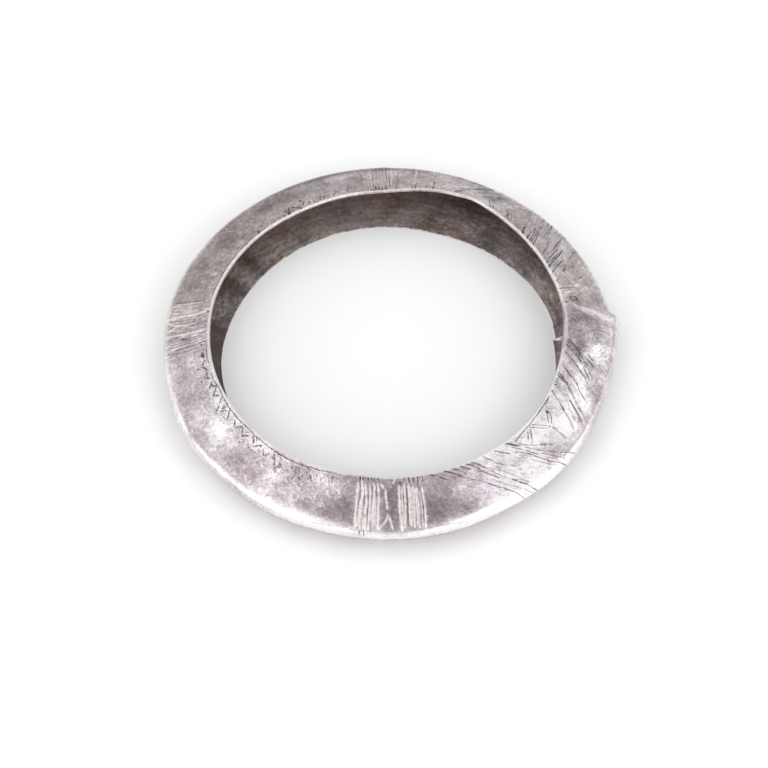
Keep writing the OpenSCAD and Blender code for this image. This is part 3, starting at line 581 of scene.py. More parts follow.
        (0.4, 0.05, -0.5, (63.8, 2.3, 60.4, 4.4, 57.3, 7.1)),
        (0.44, 0.05, -0.45, (70.0, 1.5, 64.8, 3.4, 60.4, 5.9)),
        (0.5, 0.05, -0.4, (72.4, 5.6, 70.6, 6.4, 68.4, 8.4)),
        (0.74, 0.17, -1, (42.1, -0.2, 43.6, 1.0, 44.6, 2.1)),
        (0.20, 0.07, -0.6, (43.4, 5.8, 44.4, 7.4, 45.4, 9.4)),
        (0.22, 0.07, -0.6, (44.6, 2.4, 46.4, 4.6, 48.2, 6.8, 49.6, 9.2)),
        (0.2, 0.06, -0.5, (40.6, 6.0, 41.8, 9.8)), (0.26, 0.10, -0.9, (48.4, 0.3, 49.8, 1.5, 51.2, 2.4)),
        (0.42, 0.12, -1, (50.2, 0.6, 51.8, 1.9, 52.9, 2.3)), (0.48, 0.12, -1, (55.7, 0.3, 57.2, 1.3)),
        (0.38, 0.12, -1, (56.8, 0.1, 59.3, 2.2)), (0.26, 0.09, -0.9, (57.3, 1.9, 58.5, 2.9)),
        (0.28, 0.05, -0.45, (63.6, 0.3, 61, 2.3, 59, 4.2, 57.5, 6.4)),
        (0.28, 0.05, -0.45, (66.2, 2.3, 63, 4.4, 60.7, 6.2)),
        (0.24, 0.05, -0.4, (64.6, 1.7, 62, 3.6, 60, 5.1, 58.2, 6.9)),
        (0.24, 0.05, -0.4, (61.6, 0.6, 58.4, 3.8, 56, 6.0)), (0.50, 0.10, -0.8, (69.0, 0.1, 66.4, 1.9)),
        (0.36, 0.08, -0.7, (69.9, -0.1, 67.4, 1.6)),
    ),
}

# Lines straight across the strip at the back: width, depth, tone, mm down at their two ends, then for each
# its degrees at the rim and at the ridge.
HATCHES = (
    (0.40, 0.12, -1.0, -0.4, 2.9, ((76.2, 77.0),)), (0.20, 0.08, -0.8, 2.6, 10.6, ((76.8, 77.2),)),
    (0.34, 0.11, -1.0, -0.2, 1.2, ((78.4, 78.5), (82.6, 82.8))),
    (0.38, 0.12, -1.0, -0.1, 2.1, ((81.6, 81.8),)),
    (0.18, 0.07, -0.7, 4.8, 9.6, ((78.7, 79.1), (79.4, 79.8), (83.2, 83.4))),
    (0.42, 0.13, -1.0, -0.4, 1.9, ((90.9, 90.8),)), (0.22, 0.09, -0.9, 0.8, 9.8, ((89.8, 90.1),)),
    (0.50, 0.12, -1.0, -0.3, 0.6, ((92.2, 92.2),)),
    (0.40, 0.12, -1.0, -0.2, 1.2, ((93.2, 93.1), (87.6, 87.4))),
    (0.50, 0.12, -1.0, -0.2, 1.6, ((94.2, 94.4),)),
    (0.42, 0.12, -1.0, -0.4, 0.6, ((95.8, 95.8), (95.0, 95.1))),
    (0.40, 0.10, -0.9, 1.7, 2.3, ((95.8, 95.9),)),
    (0.20, 0.08, -0.8, 3.4, 10.2, ((94.8, 94.5), (93.7, 93.5), (91.8, 91.9), (92.6, 92.6), (90.7, 90.7))),
    (0.34, 0.06, 0.8, 1.2, 7.0, ((89.2, 89.3), (82.2, 82.5), (95.4, 95.5))),
    (0.3, 0.05, -0.5, 1.6, 6.4, ((87.3, 87.6), (98.2, 98.0))),
)
HATCH_LONG = 9.5             # mm from the rim to the ridge, over which a line's degrees are given

# The row of short ticks that runs beside the slanting lines, as pairs of degrees and mm down.
TICK_LINE = (289.8, 2.3, 292.0, 3.1, 293.9, 4.1, 296.2, 5.4, 298.6, 6.6, 300.6, 7.8, 302.2, 8.5)
TICKS = 17
TICK_LONG = 0.46             # mm down
TICK_LEAN = (0.35, -0.1)     # degrees that a tick's ends lie beside the row
TICK_WIDTH, TICK_DEPTH, TICK_TONE = 0.17, 0.06, -0.45
TICK_STEP = 0.1              # between two of the points from which the ticks' places are picked

# Small scratches among the charted lines: the degrees and the mm down that they lie between, how many,
# mm long, wide and deep, tone, the mm that they run along the band for a mm down, and how much that differs.
SCRATCHES = (
    (186, 228, 0.7, 3.0, 40, 0.7, 0.26, 0.09, -0.9, 1.2, 0.4),
    (186, 228, 0.7, 3.2, 36, 0.6, 0.32, 0.09, 0.9, -1.2, 0.4),
    (228, 257, 0.8, 4.4, 54, 0.8, 0.24, 0.09, -0.85, 1.0, 0.5),
    (228, 257, 0.8, 4.6, 60, 0.75, 0.38, 0.09, 1.0, -0.9, 0.5),
    (228, 257, 4.6, 8.2, 20, 1.0, 0.2, 0.05, -0.4, 1.5, 0.4),
    (257, 283, 0.2, 8.5, 22, 0.7, 0.2, 0.06, -0.5, 0.3, 0.3),
    (286, 304, 0.6, 7.5, 30, 2.0, 0.15, 0.08, -0.45, 1.35, 0.08),
    (304, 318, 0.6, 8.5, 30, 2.0, 0.15, 0.08, -0.45, 1.0, 0.08),
    (284, 312, 0.4, 7.5, 24, 0.9, 0.24, 0.08, 0.8, 1.25, 0.15),
    (168, 186.5, 0.8, 8.0, 44, 1.8, 0.24, 0.08, 0.7, 0.04, 0.05),
    (168, 186.5, 0.8, 7.8, 30, 0.9, 0.24, 0.09, -0.8, 0.1, 0.1),
    (100, 136, 0.2, 3.0, 22, 0.6, 0.25, 0.09, -0.8, 0.4, 0.5),
    (100, 136, 0.2, 3.2, 40, 0.6, 0.34, 0.08, 0.9, -0.4, 0.5),
    (136, 166, 0.3, 7.0, 26, 1.0, 0.2, 0.06, 0.7, 0.8, 0.4),
    (21, 36, 0.2, 6.5, 20, 2.4, 0.15, 0.08, -0.55, 0.62, 0.05),
    (15, 44, 3.0, 9.8, 30, 3.0, 0.16, 0.06, -0.5, 0.62, 0.08),
    (36, 50, 3.0, 9.6, 24, 2.6, 0.2, 0.07, -0.6, 0.62, 0.06),
    (44, 71, 0.4, 8.0, 30, 2.2, 0.24, 0.05, -0.45, -0.9, 0.2),
    (76, 99, 0.6, 9.0, 24, 2.2, 0.2, 0.06, -0.6, 0.05, 0.05),
    (76, 99, 0.6, 8.0, 16, 1.8, 0.26, 0.06, 0.7, 0.05, 0.05),
    (330, 352, 0.6, 7.5, 40, 2.6, 0.15, 0.08, -0.5, -0.75, 0.05),
    (345, 357, 0.4, 6.0, 18, 2.0, 0.15, 0.08, -0.55, -0.9, 0.05),
    (330, 357, 0.6, 8.0, 30, 1.8, 0.2, 0.08, 0.7, -0.8, 0.06),
    (353, 364, 2.5, 8.0, 14, 1.0, 0.2, 0.06, -0.6, 0.6, 0.5),
    (352, 362, 3.5, 8.5, 16, 0.8, 0.24, 0.06, 0.8, 0.6, 0.6),
)

STROKE_STEP = 0.26           # mm between two points of a line
STRAY = 0.035                # mm that a hand-cut line strays from its way
WIDTH_CHANGE = 0.17          # share by which its width changes
DEPTH_CHANGE = 0.1           # share by which its depth changes
RUN_OUT = 0.7                # mm over which it runs out at its end
RUN_IN = 0.4                 # mm over which it starts, where it doesn't start at the rim
EDGE_START = 0.15            # mm down from the rim; a line that starts above this starts at the rim
SETTLE_STEPS = 40            # times that a point's row is brought nearer to its angle
SHALLOW = 0.1                # mm; a cut line less deep than this has no shoulders of its own
SHOULDER = 0.07              # mm from a line's edge to its shoulder


def scattered_scratches():
    """Ways for the small scratches, in the same form as the charted lines."""
    rng = np.random.default_rng(23)
    ways = []
    for start, stop, top, bottom, count, long, width, depth, tone, lean, spread in SCRATCHES:
        for _ in range(count):
            at = np.array((rng.uniform(start, stop), rng.uniform(top, bottom)))
            run = long * rng.uniform(0.45, 1.3)
            slope = lean + rng.normal(0, spread)
            step = np.array((slope / LONG, 1.0)) * run / math.hypot(slope, 1.0) / 2
            width_here, tone_here = width * rng.uniform(0.7, 1.2), tone * rng.uniform(0.6, 1.0)
            ways.append((width_here, depth, tone_here, np.array((at - step, at + step))))
    return ways


def hatched_ways():
    """Ways of the lines straight across the strip."""
    ways = []
    for width, depth, tone, top, bottom, pairs in HATCHES:
        for at_rim, at_ridge in pairs:
            slope = (at_ridge - at_rim) / HATCH_LONG
            downs = (top, (top + bottom) / 2, bottom)
            ways.append((width, depth, tone, np.array([(at_rim + slope * down, down) for down in downs])))
    return ways


def tick_ways():
    """Ways of the short ticks."""
    row, _ = through(np.reshape(TICK_LINE, (-1, 2)), TICK_STEP)
    first, last = TICK_LEAN
    ways = []
    for turn, down in row[np.linspace(0, len(row) - 1, TICKS).astype(int)]:
        way = np.array([(turn + first, down - TICK_LONG / 2), (turn + last, down + TICK_LONG / 2)])
        ways.append((TICK_WIDTH, TICK_DEPTH, TICK_TONE, way))
    return ways


def on_layout(turn, down):
    """Where a point of a cut line lies on the layout, from its angle and its mm below the upper rim."""
    turn, down = np.asarray(turn, float), np.asarray(down, float)
    row = half_turn(turn)
    lap, sink = lapped(row), sunk(row)
    half = MID_HEIGHT - RIM_DROP * sink
    across = RIDGE_REACH - RIDGE_ROUND + bend(row, RIDGE) - bend(row, RIM) - round_band(RIM_KNEE, row)
    across = across + (RIDGE_STEP - RIM_SWELL) * lap + flare(row)
    flat = np.sqrt(across ** 2 + half ** 2 - RIDGE_ROUND ** 2)       # mm from the rim to the ridge's rounding
    rounding = RIDGE_ROUND * 2 * face_turn(across, half)
    on_ridge = UPPER + BEND_OVER * (down - flat) / rounding
    share = np.where(down < flat, UPPER * down / flat, on_ridge)
    row = turn.copy()
    for _ in range(SETTLE_STEPS):            # the ends of the sheet slant, so rows and angles differ there
        row = row + 0.6 * half_turn(turn - turn_out(row, np.clip(share, 0, 1)))
    return np.stack([((row - START) % 360) * LONG, share * WAY], -1)


def through(points, step):
    """An even, smooth way through a few points, and how far along it each place is."""
    if len(points) == 2:
        line = points
    else:
        p = np.vstack([2 * points[0] - points[1], points, 2 * points[-1] - points[-2]])
        t = np.linspace(0, 1, 8, endpoint=False)[:, None]
        arcs = [smooth(a, b, c, d, t) for a, b, c, d in zip(p, p[1:], p[2:], p[3:])]
        line = np.vstack(arcs + [points[-1:]])
    run = np.r_[0, np.cumsum(np.hypot(*np.diff(line, axis=0).T))]
    places = np.linspace(0, run[-1], max(3, int(run[-1] / step) + 1))
    return np.stack([np.interp(places, run, line[:, k]) for k in (0, 1)], -1), places


def hand_cut(rng, width, depth, way):
    """A line as a hand cuts it: points, sideways directions, and the half width and depth at each."""
    points, run = through(on_layout(way[:, 0], way[:, 1]), STROKE_STEP)
    n, long = len(points), run[-1]
    along = np.gradient(points, axis=0)
    along /= np.hypot(*along.T)[:, None]
    across = np.stack([-along[:, 1], along[:, 0]], -1)
    shake = np.convolve(rng.normal(0, 1, n + 4), np.ones(5) / 5, "valid")
    points = points + across * (STRAY * shake * min(1, long / 2))[:, None]
    taper = np.clip((long - run) / min(RUN_OUT, 0.3 * long), 0, 1) ** 0.5
    if way[0, 1] >= EDGE_START:
        taper = taper * np.clip(run / min(RUN_IN, 0.25 * long), 0, 1) ** 0.5
    half = width / 2 * (0.3 + 0.7 * taper) * (1 + WIDTH_CHANGE * rng.normal(0, 1, n).clip(-2, 2))
    deep = depth * taper * (1 + DEPTH_CHANGE * rng.normal(0, 1, n).clip(-2, 2))
    return points, across, half, deep


def charted_lines():
    """Every cut line: its points on the layout, the half width and depth at each, and its tone."""
    ways = [(width, depth, tone, np.reshape(way, (-1, 2)))
            for group in CUTS.values() for width, depth, tone, way in group]
    ways += hatched_ways() + tick_ways() + scattered_scratches()
    rng = np.random.default_rng(11)
    return [(*hand_cut(rng, width, depth, way), tone) for width, depth, tone, way in ways]


def cut_depth(spots, lines, size):
    """Depth, and tone, that the lines give at spots of the layout."""
    deep, tone = np.zeros(len(spots)), np.zeros(len(spots))
    for points, _, half, depth, shade in lines:
        wide = half.max() * size + 0.05
        low, high = points.min(0) - wide, points.max(0) + wide
        at = np.flatnonzero(((spots > low) & (spots < high)).all(1))
        if not len(at):
            continue
        a, b = points[:-1], points[1:]
        ab = b - a
        t = np.clip(((spots[at, None] - a) * ab).sum(-1) / (ab ** 2).sum(-1), 0, 1)
        gap = np.linalg.norm(spots[at, None] - (a + ab * t[..., None]), axis=-1)
        k = gap.argmin(1)
        i = np.arange(len(at))
        t, gap = t[i, k], gap[i, k]
        half_here = (half[k] + (half[k + 1] - half[k]) * t) * size
        depth_here = depth[k] + (depth[k + 1] - depth[k]) * t
        share = np.clip(1 - gap / half_here, 0, 1)
        deep[at] = np.maximum(deep[at], depth_here * share)
        tone[at] += shade * (np.clip(share * 1.6, 0, 1) + 1e-6)
    return deep, np.clip(tone, -1, 1)


# The mesh

# Degrees beside each end of the sheet at which rows stand close.
END_ROWS = (-1.5, -1.0, -0.55, -0.35, -0.2, -STEP_HALF, STEP_HALF, 0.3, 0.6, 1.0, 1.5)
ROW_GAP = 0.32               # degrees that other rows keep from these
# mm down at the rim, and then across the face where the layout begins and ends and at the sheet's ends.
RIM_LADDER = (-RIM_FLAT, -0.3, -0.2, -0.1, -0.03, 0.03, 0.1, 0.25)
LADDER = np.r_[RIM_LADDER, np.arange(0.7, EQUATOR - 0.3, 0.6), EQUATOR]
END_LADDER = np.r_[RIM_LADDER, np.arange(0.6, EQUATOR - 0.2, 0.4), EQUATOR]
CLOSE_ROWS = 0.3             # mm; rows nearer to each other than this run straight across
RIM_SPACING = 0.36           # mm between the points along the rim
IN_RIM, IN_EQUATOR = 0.04, 0.1          # mm that a cut line's own points keep from the layout's two sides
DEEP_CUT = 0.13              # mm; a cut as deep as this counts as whole for the finish
CORNER, BESIDE = 0.035, 0.12             # mm either way from the rim's corner: the corner, and beside it
CORNER_WEAR, BESIDE_WEAR = 0.05, 0.012   # mm that a worn corner lies in, and that it does beside it

# Where the rest of the band has its lines: shares of the way down outside, mm in over the lower rim's flat,
# shares of the way over a cut edge, and shares of the way down inside.
OUT_STATIONS = np.r_[0.535, 0.57, 0.60, 0.63, 0.66, np.arange(0.695, 0.96, 0.035), 0.972, 0.988, 0.996, 1.0]
FLAT_STATIONS = (0.06, 0.17, 0.29, RIM_FLAT)
EDGE_STATIONS = (0.12, 0.32, 0.42, 0.5, 0.58, 0.70, 0.88)
IN_STATIONS = np.r_[1.0, 0.994, 0.98, np.arange(0.95, 0.66, -0.04),
                    0.63, 0.60, 0.565, 0.53, 0.5, 0.47, 0.435, 0.40, 0.37,
                    np.arange(0.33, 0.03, -0.04), 0.02, 0.006, 0.0]


def columns(step):
    """The rows at which the band is cut across, closer at the two ends of the sheet."""
    even = START + np.arange(0, 360, step)
    ends = [START + (end - START) % 360 for end in (SEAM, TAIL)]
    close = np.array([end + beside for end in ends for beside in END_ROWS])
    far = (np.abs(even[:, None] - close) > ROW_GAP).all(1)
    crowd = np.array([(end + END_ROWS[0] < even) & (even < end + END_ROWS[-1]) for end in ends]).any(0)
    return np.sort(np.r_[even[far & ~crowd], close])


class Layout:
    """Points and edges gathered for the flat layout."""

    def __init__(self):
        self.spots, self.edges = [], []

    def chain(self, points):
        """Adds points that are joined one to the next."""
        first = sum(map(len, self.spots))
        self.spots.append(np.asarray(points, float))
        self.edges.extend((first + i, first + i + 1) for i in range(len(points) - 1))

    def across(self, x, ladder):
        self.chain([(x, y) for y in ladder])

    def along(self, xs, y):
        self.chain(np.stack([xs, np.full(len(xs), y)], -1))


def within_sides(line):
    """The line's points, kept off the layout's two long sides."""
    return np.c_[line[:, 0], line[:, 1].clip(-RIM_FLAT + 0.03, EQUATOR - 0.05)]


def lay_frame(layout, rows):
    """Lays the sides of the layout, the rows at the ends of the sheet and the lines along the rim."""
    xs = (rows - START) * LONG
    for x in (0.0, LENGTH):
        layout.across(x, LADDER)
    for y in (-RIM_FLAT, EQUATOR):
        layout.along(xs[1:], y)
    close = np.abs(np.diff(np.r_[xs, LENGTH])) < CLOSE_ROWS
    for i, x in enumerate(xs):
        if close[i] or close[i - 1]:
            layout.across(x, END_LADDER)
    for y in RIM_LADDER[1:]:
        layout.along(np.arange(0.2, LENGTH - 0.1, RIM_SPACING), y)


def lay_cut(layout, line, size):
    """Lays a cut line's bed, both its edges and, where it is deep, the shoulders beside them."""
    points, across, half, depth, _ = line
    keep = np.flatnonzero((points[:, 1] > -RIM_FLAT + IN_RIM) & (points[:, 1] < EQUATOR - IN_EQUATOR))
    if len(keep) < 2:
        return
    h = (half * size)[:, None]
    for off in (0, 1, -1):
        layout.chain(within_sides((points + across * h * off)[keep]))
    if depth.max() < SHALLOW:
        return
    for side in (1, -1):
        layout.spots.append(within_sides((points + across * (h + SHOULDER) * side)[keep]))


def plain_ground(taken, spacing):
    """Points of the plain face between the ones that are taken, on a shaken net."""
    xs, ys = np.arange(spacing, LENGTH - spacing / 2, spacing), np.arange(0.55, EQUATOR - 0.3, spacing * 0.87)
    gx, gy = np.meshgrid(xs, ys)
    gx = gx + (np.arange(len(gy)) % 2 * spacing / 2)[:, None]
    rng = np.random.default_rng(5)
    ground = np.stack([gx.ravel(), gy.ravel()], -1)
    ground = ground + rng.uniform(-0.12, 0.12, ground.shape) * spacing
    order = np.argsort(taken[:, 0])
    sorted_x = taken[order, 0]
    free = np.ones(len(ground), bool)
    reach = 0.42 * spacing
    for i, (x, y) in enumerate(ground):
        a, b = np.searchsorted(sorted_x, (x - reach, x + reach))
        beside = taken[order[a:b]]
        free[i] = not len(beside) or ((beside - (x, y)) ** 2).sum(1).min() > reach * reach
    return ground[free & (ground[:, 0] < LENGTH - 0.3)]


def top_layout(rows, lines, size, spacing):
    """Triangles over the upper side of the layout, with edges along every cut line."""
    layout = Layout()
    lay_frame(layout, rows)
    for line in lines:
        lay_cut(layout, line, size)
    taken = np.vstack(layout.spots)
    flat = np.vstack([taken, plain_ground(taken, spacing)])
    places = [Vector(p) for p in flat.tolist()]
    made, _, faces, *_ = delaunay_2d_cdt(places, layout.edges, [], 0, 1e-4, False)
    return np.array([tuple(v) for v in made]), np.array([tuple(f) for f in faces])


def spots_on_border(flat, value, axis):
    """The layout's points on one border, in order along it."""
    at = np.flatnonzero(np.abs(flat[:, axis] - value) < 2e-4)
    return at[np.argsort(flat[at, 1 - axis])]


def rest_of_band(rows):
    """Points of the underside, both cut edges and the inside, row by row, with what each station is."""
    stations, kinds = [], []
    for d in OUT_STATIONS:
        stations.append(outside(rows, d))
        kinds.append("foot corner" if d == 1 else "near foot" if d > 0.98 else "under")
    for f in FLAT_STATIONS:
        stations.append(outside(rows, 1.0, f))
        kinds.append("foot edge" if f == RIM_FLAT else "foot flat")
    low_edge, low_in = outside(rows, 1.0, RIM_FLAT), inside(rows, 1.0)
    for t in EDGE_STATIONS:
        stations.append(low_edge + (low_in - low_edge) * t)
        kinds.append("low cut")
    for d in IN_STATIONS:
        stations.append(inside(rows, d))
        kinds.append("in edge" if d in (0.0, 1.0) else "in")
    top_in, top_edge = inside(rows, 0.0), outside(rows, 0.0, RIM_FLAT)
    for t in EDGE_STATIONS:
        stations.append(top_in + (top_edge - top_in) * t)
        kinds.append("top cut")
    return np.stack(stations), kinds


# What each kind of station on the rest of the band is given: the mm that it lies in, how worn it is, how far
# hammering may move it, and how far the nicks of the lower rim reach it.
LIES_IN = {"foot corner": CORNER_WEAR, "foot edge": 0.03, "near foot": BESIDE_WEAR, "in edge": CORNER_WEAR}
WORN = {"under": 0.3, "foot corner": 0.7, "near foot": 0.5, "foot flat": 0.6, "in edge": 0.1}
FREE = {"under": 1, "in": 1, "near foot": 0.1}
NICKED = {"foot edge": 1.0, "low cut": 0.9}


def surface_marks(flat, rows, kinds, deep, tone, size):
    """What the finishes and the mesh need to know at each point, over the top and then the rest."""
    n = len(rows)
    row, y = START + flat[:, 0] / LONG, flat[:, 1]

    def spread(top_values, by_kind):
        rest = [np.broadcast_to(by_kind.get(kind, 0.0), n) for kind in kinds]
        return np.r_[top_values, np.concatenate(rest)]

    rim_shine, edge_shine = round_band(RIM_SHINE, row), round_band(RIM_SHINE, rows)
    # The rim and the ridge are made bright: rubbed silver, and in part painted highlights where they mirror the
    # lamps.
    rim_rub_and_highlight = rim_shine * np.maximum(0.85 * np.exp(-np.abs(y) / 0.09), y < -0.02)
    ridge_rub_and_highlight = round_band(RIDGE_SHINE, row) * ease((y - round_band(RIDGE_SHINE_FROM, row)) / 0.9)
    on_seam = np.abs(half_turn(row - SEAM) + 0.05) < 0.2          # degrees
    seam_wear = 0.85 * on_seam * (y > 0.4)
    # Painted light on the inside at the inner end's step, which would otherwise lie dark in its shade.
    past_tail = half_turn(rows - TAIL)
    tongue_step_light = 0.9 * (np.abs(past_tail) < 0.15) + 0.35 * (np.abs(past_tail - 0.4) < 0.25)
    rng = np.random.default_rng(31)
    specks = np.clip(6 * (np.convolve(rng.random(n + 2), np.ones(3) / 3, "valid") - 0.48), 0, 1)
    corner = np.abs(y) < CORNER
    beside = ~corner & (np.abs(y) < BESIDE)
    return {
        "cut": spread(deep / DEEP_CUT, {}),
        "tone": spread(tone * ease((y + 0.2) / 0.2), {}),
        "deep": spread(deep * size, {}),
        "inset": spread(CORNER_WEAR * corner + CORNER_WEAR * (y < -RIM_FLAT + 0.01) + BESIDE_WEAR * beside,
                        LIES_IN),
        "worn": spread(np.maximum.reduce([rim_rub_and_highlight, ridge_rub_and_highlight, seam_wear]),
                       {**WORN, "foot edge": 0.9 * specks, "low cut": 0.25 * specks,
                        "top cut": 0.25 * edge_shine, "in": tongue_step_light}),
        "free": spread(ease((y + 0.1) / 1.2) * (y > 0) + 0.15, FREE),
        "low": spread(0 * y, NICKED),
    }


def build_band(sizes):
    """The whole band as one closed mesh: points in mm, faces, which are inside, and marks at each point."""
    lines = charted_lines()
    rows = columns(sizes.row_step)
    flat, tris = top_layout(rows, lines, sizes.cut_size, sizes.spacing / MM)
    deep, tone = cut_depth(flat, lines, sizes.cut_size)
    deep = deep * ease((flat[:, 1] + 0.12) / 0.14)
    down, over_rim = np.clip(flat[:, 1], 0, None) / WAY, np.clip(-flat[:, 1], 0, None)
    top = outside(START + flat[:, 0] / LONG, down, over_rim)

    left, right = spots_on_border(flat, 0.0, 0), spots_on_border(flat, LENGTH, 0)
    if len(left) != len(right):
        raise RuntimeError(f"the layout's two ends don't match: {len(left)} and {len(right)} points")
    same = np.arange(len(flat))
    same[right] = left
    tris = same[tris]

    rest, kinds = rest_of_band(rows)
    count, n = len(rest), len(rows)
    equator, rim = spots_on_border(flat, EQUATOR, 1)[:-1], spots_on_border(flat, -RIM_FLAT, 1)[:-1]
    if len(equator) != n or len(rim) != n:
        raise RuntimeError(f"the layout's long sides hold {len(equator)} and {len(rim)} points, not {n}")
    grid = len(flat) + np.arange(count * n).reshape(count, n)
    grid = np.vstack([equator, grid, rim])
    a, b = grid[:-1], grid[1:]
    quads = np.stack([a, b, np.roll(b, -1, 1), np.roll(a, -1, 1)], -1)
    first_in = len(OUT_STATIONS) + len(FLAT_STATIONS)
    in_side = np.zeros(quads.shape[:2], bool)
    in_side[first_in:first_in + len(EDGE_STATIONS) + len(IN_STATIONS)] = True

    points = np.vstack([top, rest.reshape(-1, 3)])
    marks = surface_marks(flat, rows, kinds, deep, tone, sizes.cut_deep)
    used = np.unique(np.r_[tris.ravel(), quads.ravel()])
    renumber = np.full(len(points), -1)
    renumber[used] = np.arange(len(used))
    marks = {name: values[used] for name, values in marks.items()}
    faces = [tuple(f) for f in renumber[tris]] + [tuple(f) for f in renumber[quads.reshape(-1, 4)]]
    inner = np.r_[np.zeros(len(tris), bool), in_side.ravel()]
    return points[used], faces, inner, marks


# Layers of smooth unevenness: how much, about how many mm wide, and which place of the noise it reads.
HAMMERING, HAMMERED_LEVEL = ((0.5, 4.5, 1), (0.35, 1.7, 2)), 0.5
NICKS, NICK_LEVEL = ((3.2, 0.95, 3), (1.6, 2.4, 4)), 0.0


def hills(points, size, which):
    """Smooth unevenness from -1 to 1 at points in mm, of hills about that many mm wide."""
    shift = Vector((which * 7.3, which * 3.1, which * 5.7))
    return np.array([noise.noise(Vector(p) / size + shift) for p in points.tolist()])


def rolling(points, layers, level):
    """Layers of hills over a level."""
    return sum((much * hills(points, size, which) for much, size, which in layers), level)


def to_solid():
    """How far the ring moves in mm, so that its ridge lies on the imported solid's."""
    middle = (np.array(SOLID_BOX[0]) + np.array(SOLID_BOX[1])) / 2 / MM
    rows = np.arange(-180, 180, 0.25)
    r, z, _ = outline(rows, lapped(rows), sunk(rows), 0.5)
    ridge = spin(turn_out(rows, 0.5), r, z)            # without the flare, as the solid has it
    shift = middle - (ridge.min(0) + ridge.max(0)) / 2
    shift[2] = 0
    return shift


def make_band(sizes, finishes):
    """The dressed band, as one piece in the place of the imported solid."""
    points, faces, inner, marks = build_band(sizes)
    shift = to_solid()
    mesh = bpy.data.meshes.new("Dressed band")
    mesh.from_pydata((points + shift).tolist(), [], faces)
    mesh.update()
    facing = np.zeros(len(points) * 3, np.float32)
    mesh.vertex_normals.foreach_get("vector", facing)
    facing = facing.reshape(-1, 3)
    hammered = rolling(points, HAMMERING, HAMMERED_LEVEL)
    nicks = np.clip(rolling(points, NICKS, NICK_LEVEL), 0, 1)
    off = -(marks["deep"] + marks["inset"])
    off -= sizes.unevenness / MM * marks["free"] * hammered
    off -= sizes.nick_depth / MM * marks["low"] * nicks
    points = points + shift + facing * off[:, None]
    points[:, 2] = points[:, 2].clip(0.0, BAND_HEIGHT)
    mesh.vertices.foreach_set("co", (points * MM).astype(np.float32).ravel())
    for name in ("cut", "tone", "worn"):
        mark_points(mesh, name, np.clip(marks[name], -1, 1))
    for finish in finishes:
        mesh.materials.append(finish)
    mesh.polygons.foreach_set("material_index", inner.astype(np.int32))
    mesh.polygons.foreach_set("use_smooth", np.ones(len(mesh.polygons), bool))
    mesh.set_sharp_from_angle(angle=math.radians(sizes.crease))
    mesh.update()
    piece = bpy.data.objects.new("dressed_band", mesh)
    bpy.context.scene.collection.objects.link(piece)
    return piece


def mark_points(mesh, name, values):
    """Keeps a value for each point of the mesh, for the finishes to read."""
    mark = mesh.attributes.new(name, "FLOAT", "POINT")
    mark.data.foreach_set("value", values.astype(np.float32))


# The finishes

class Tree:
    """A short hand for laying out shader nodes."""

    def __init__(self, tree):
        self.tree = tree

    def node(self, kind, inputs=(), **settings):
        made = self.tree.nodes.new(kind)
        for name, value in settings.items():
            setattr(made, name, value)
        for socket, value in dict(inputs).items():
            self.feed(made.inputs[socket], value)
        return made

    def feed(self, socket, value):
        """Links a socket to another one, or sets its value."""
        if isinstance(value, bpy.types.NodeSocket):
            self.tree.links.new(value, socket)
        else:
            socket.default_value = value

    def math(self, operation, a, b=0.0, c=0.0, clamp=False):
        inputs = {0: a, 1: b, 2: c}
        return self.node("ShaderNodeMath", inputs, operation=operation, use_clamp=clamp).outputs[0]

    def scaled(self, value, by, plus=0.0):
        return self.math("MULTIPLY_ADD", value, by, plus)

    def uneven(self, value, by, plus):
        """Adds a noise to a value, so that it is as often more as less."""
        return self.scaled(self.math("SUBTRACT", value, 0.5), by, plus)

    def noise(self, place, scale, detail=3.0, roughness=0.55, distortion=0.0):
        inputs = {"Vector": place, "Scale": scale, "Detail": detail, "Roughness": roughness,
                  "Distortion": distortion}
        return self.node("ShaderNodeTexNoise", inputs).outputs["Fac"]

    def span(self, value, low, high, to_low=0.0, to_high=1.0):
        inputs = {"Value": value, "From Min": low, "From Max": high, "To Min": to_low, "To Max": to_high}
        return self.node("ShaderNodeMapRange", inputs, interpolation_type="SMOOTHSTEP").outputs["Result"]

    def blend(self, share, a, b, how="MIX"):
        made = self.node("ShaderNodeMix", data_type="RGBA", blend_type=how)
        for socket, value in zip((made.inputs[0], made.inputs[6], made.inputs[7]), (share, a, b)):
            self.feed(socket, value)
        return made.outputs[2]

    def place(self):
        return self.node("ShaderNodeTexCoord").outputs["Object"]

    def mark(self, name):
        return self.node("ShaderNodeAttribute", attribute_name=name).outputs["Fac"]

    def polar(self, place):
        """The x, y and z of a place, and how far out from the axis it is."""
        x, y, z = self.node("ShaderNodeSeparateXYZ", {0: place}).outputs
        squares = self.math("ADD", self.math("MULTIPLY", x, x), self.math("MULTIPLY", y, y))
        return x, y, z, self.math("SQRT", squares)

    def spot(self, x, y, z):
        return self.node("ShaderNodeCombineXYZ", {0: x, 1: y, 2: z}).outputs[0]


def new_group(name, inputs, outputs):
    """An empty node group with its sockets: inputs as (name, default), outputs by name."""
    group = bpy.data.node_groups.new(name, "ShaderNodeTree")
    for label, default in inputs:
        socket = group.interface.new_socket(name=label, in_out="INPUT", socket_type="NodeSocketFloat")
        socket.default_value = default
    for label in outputs:
        group.interface.new_socket(name=label, in_out="OUTPUT", socket_type="NodeSocketFloat")
    tree = Tree(group)
    return group, tree, tree.node("NodeGroupInput").outputs, tree.node("NodeGroupOutput").inputs


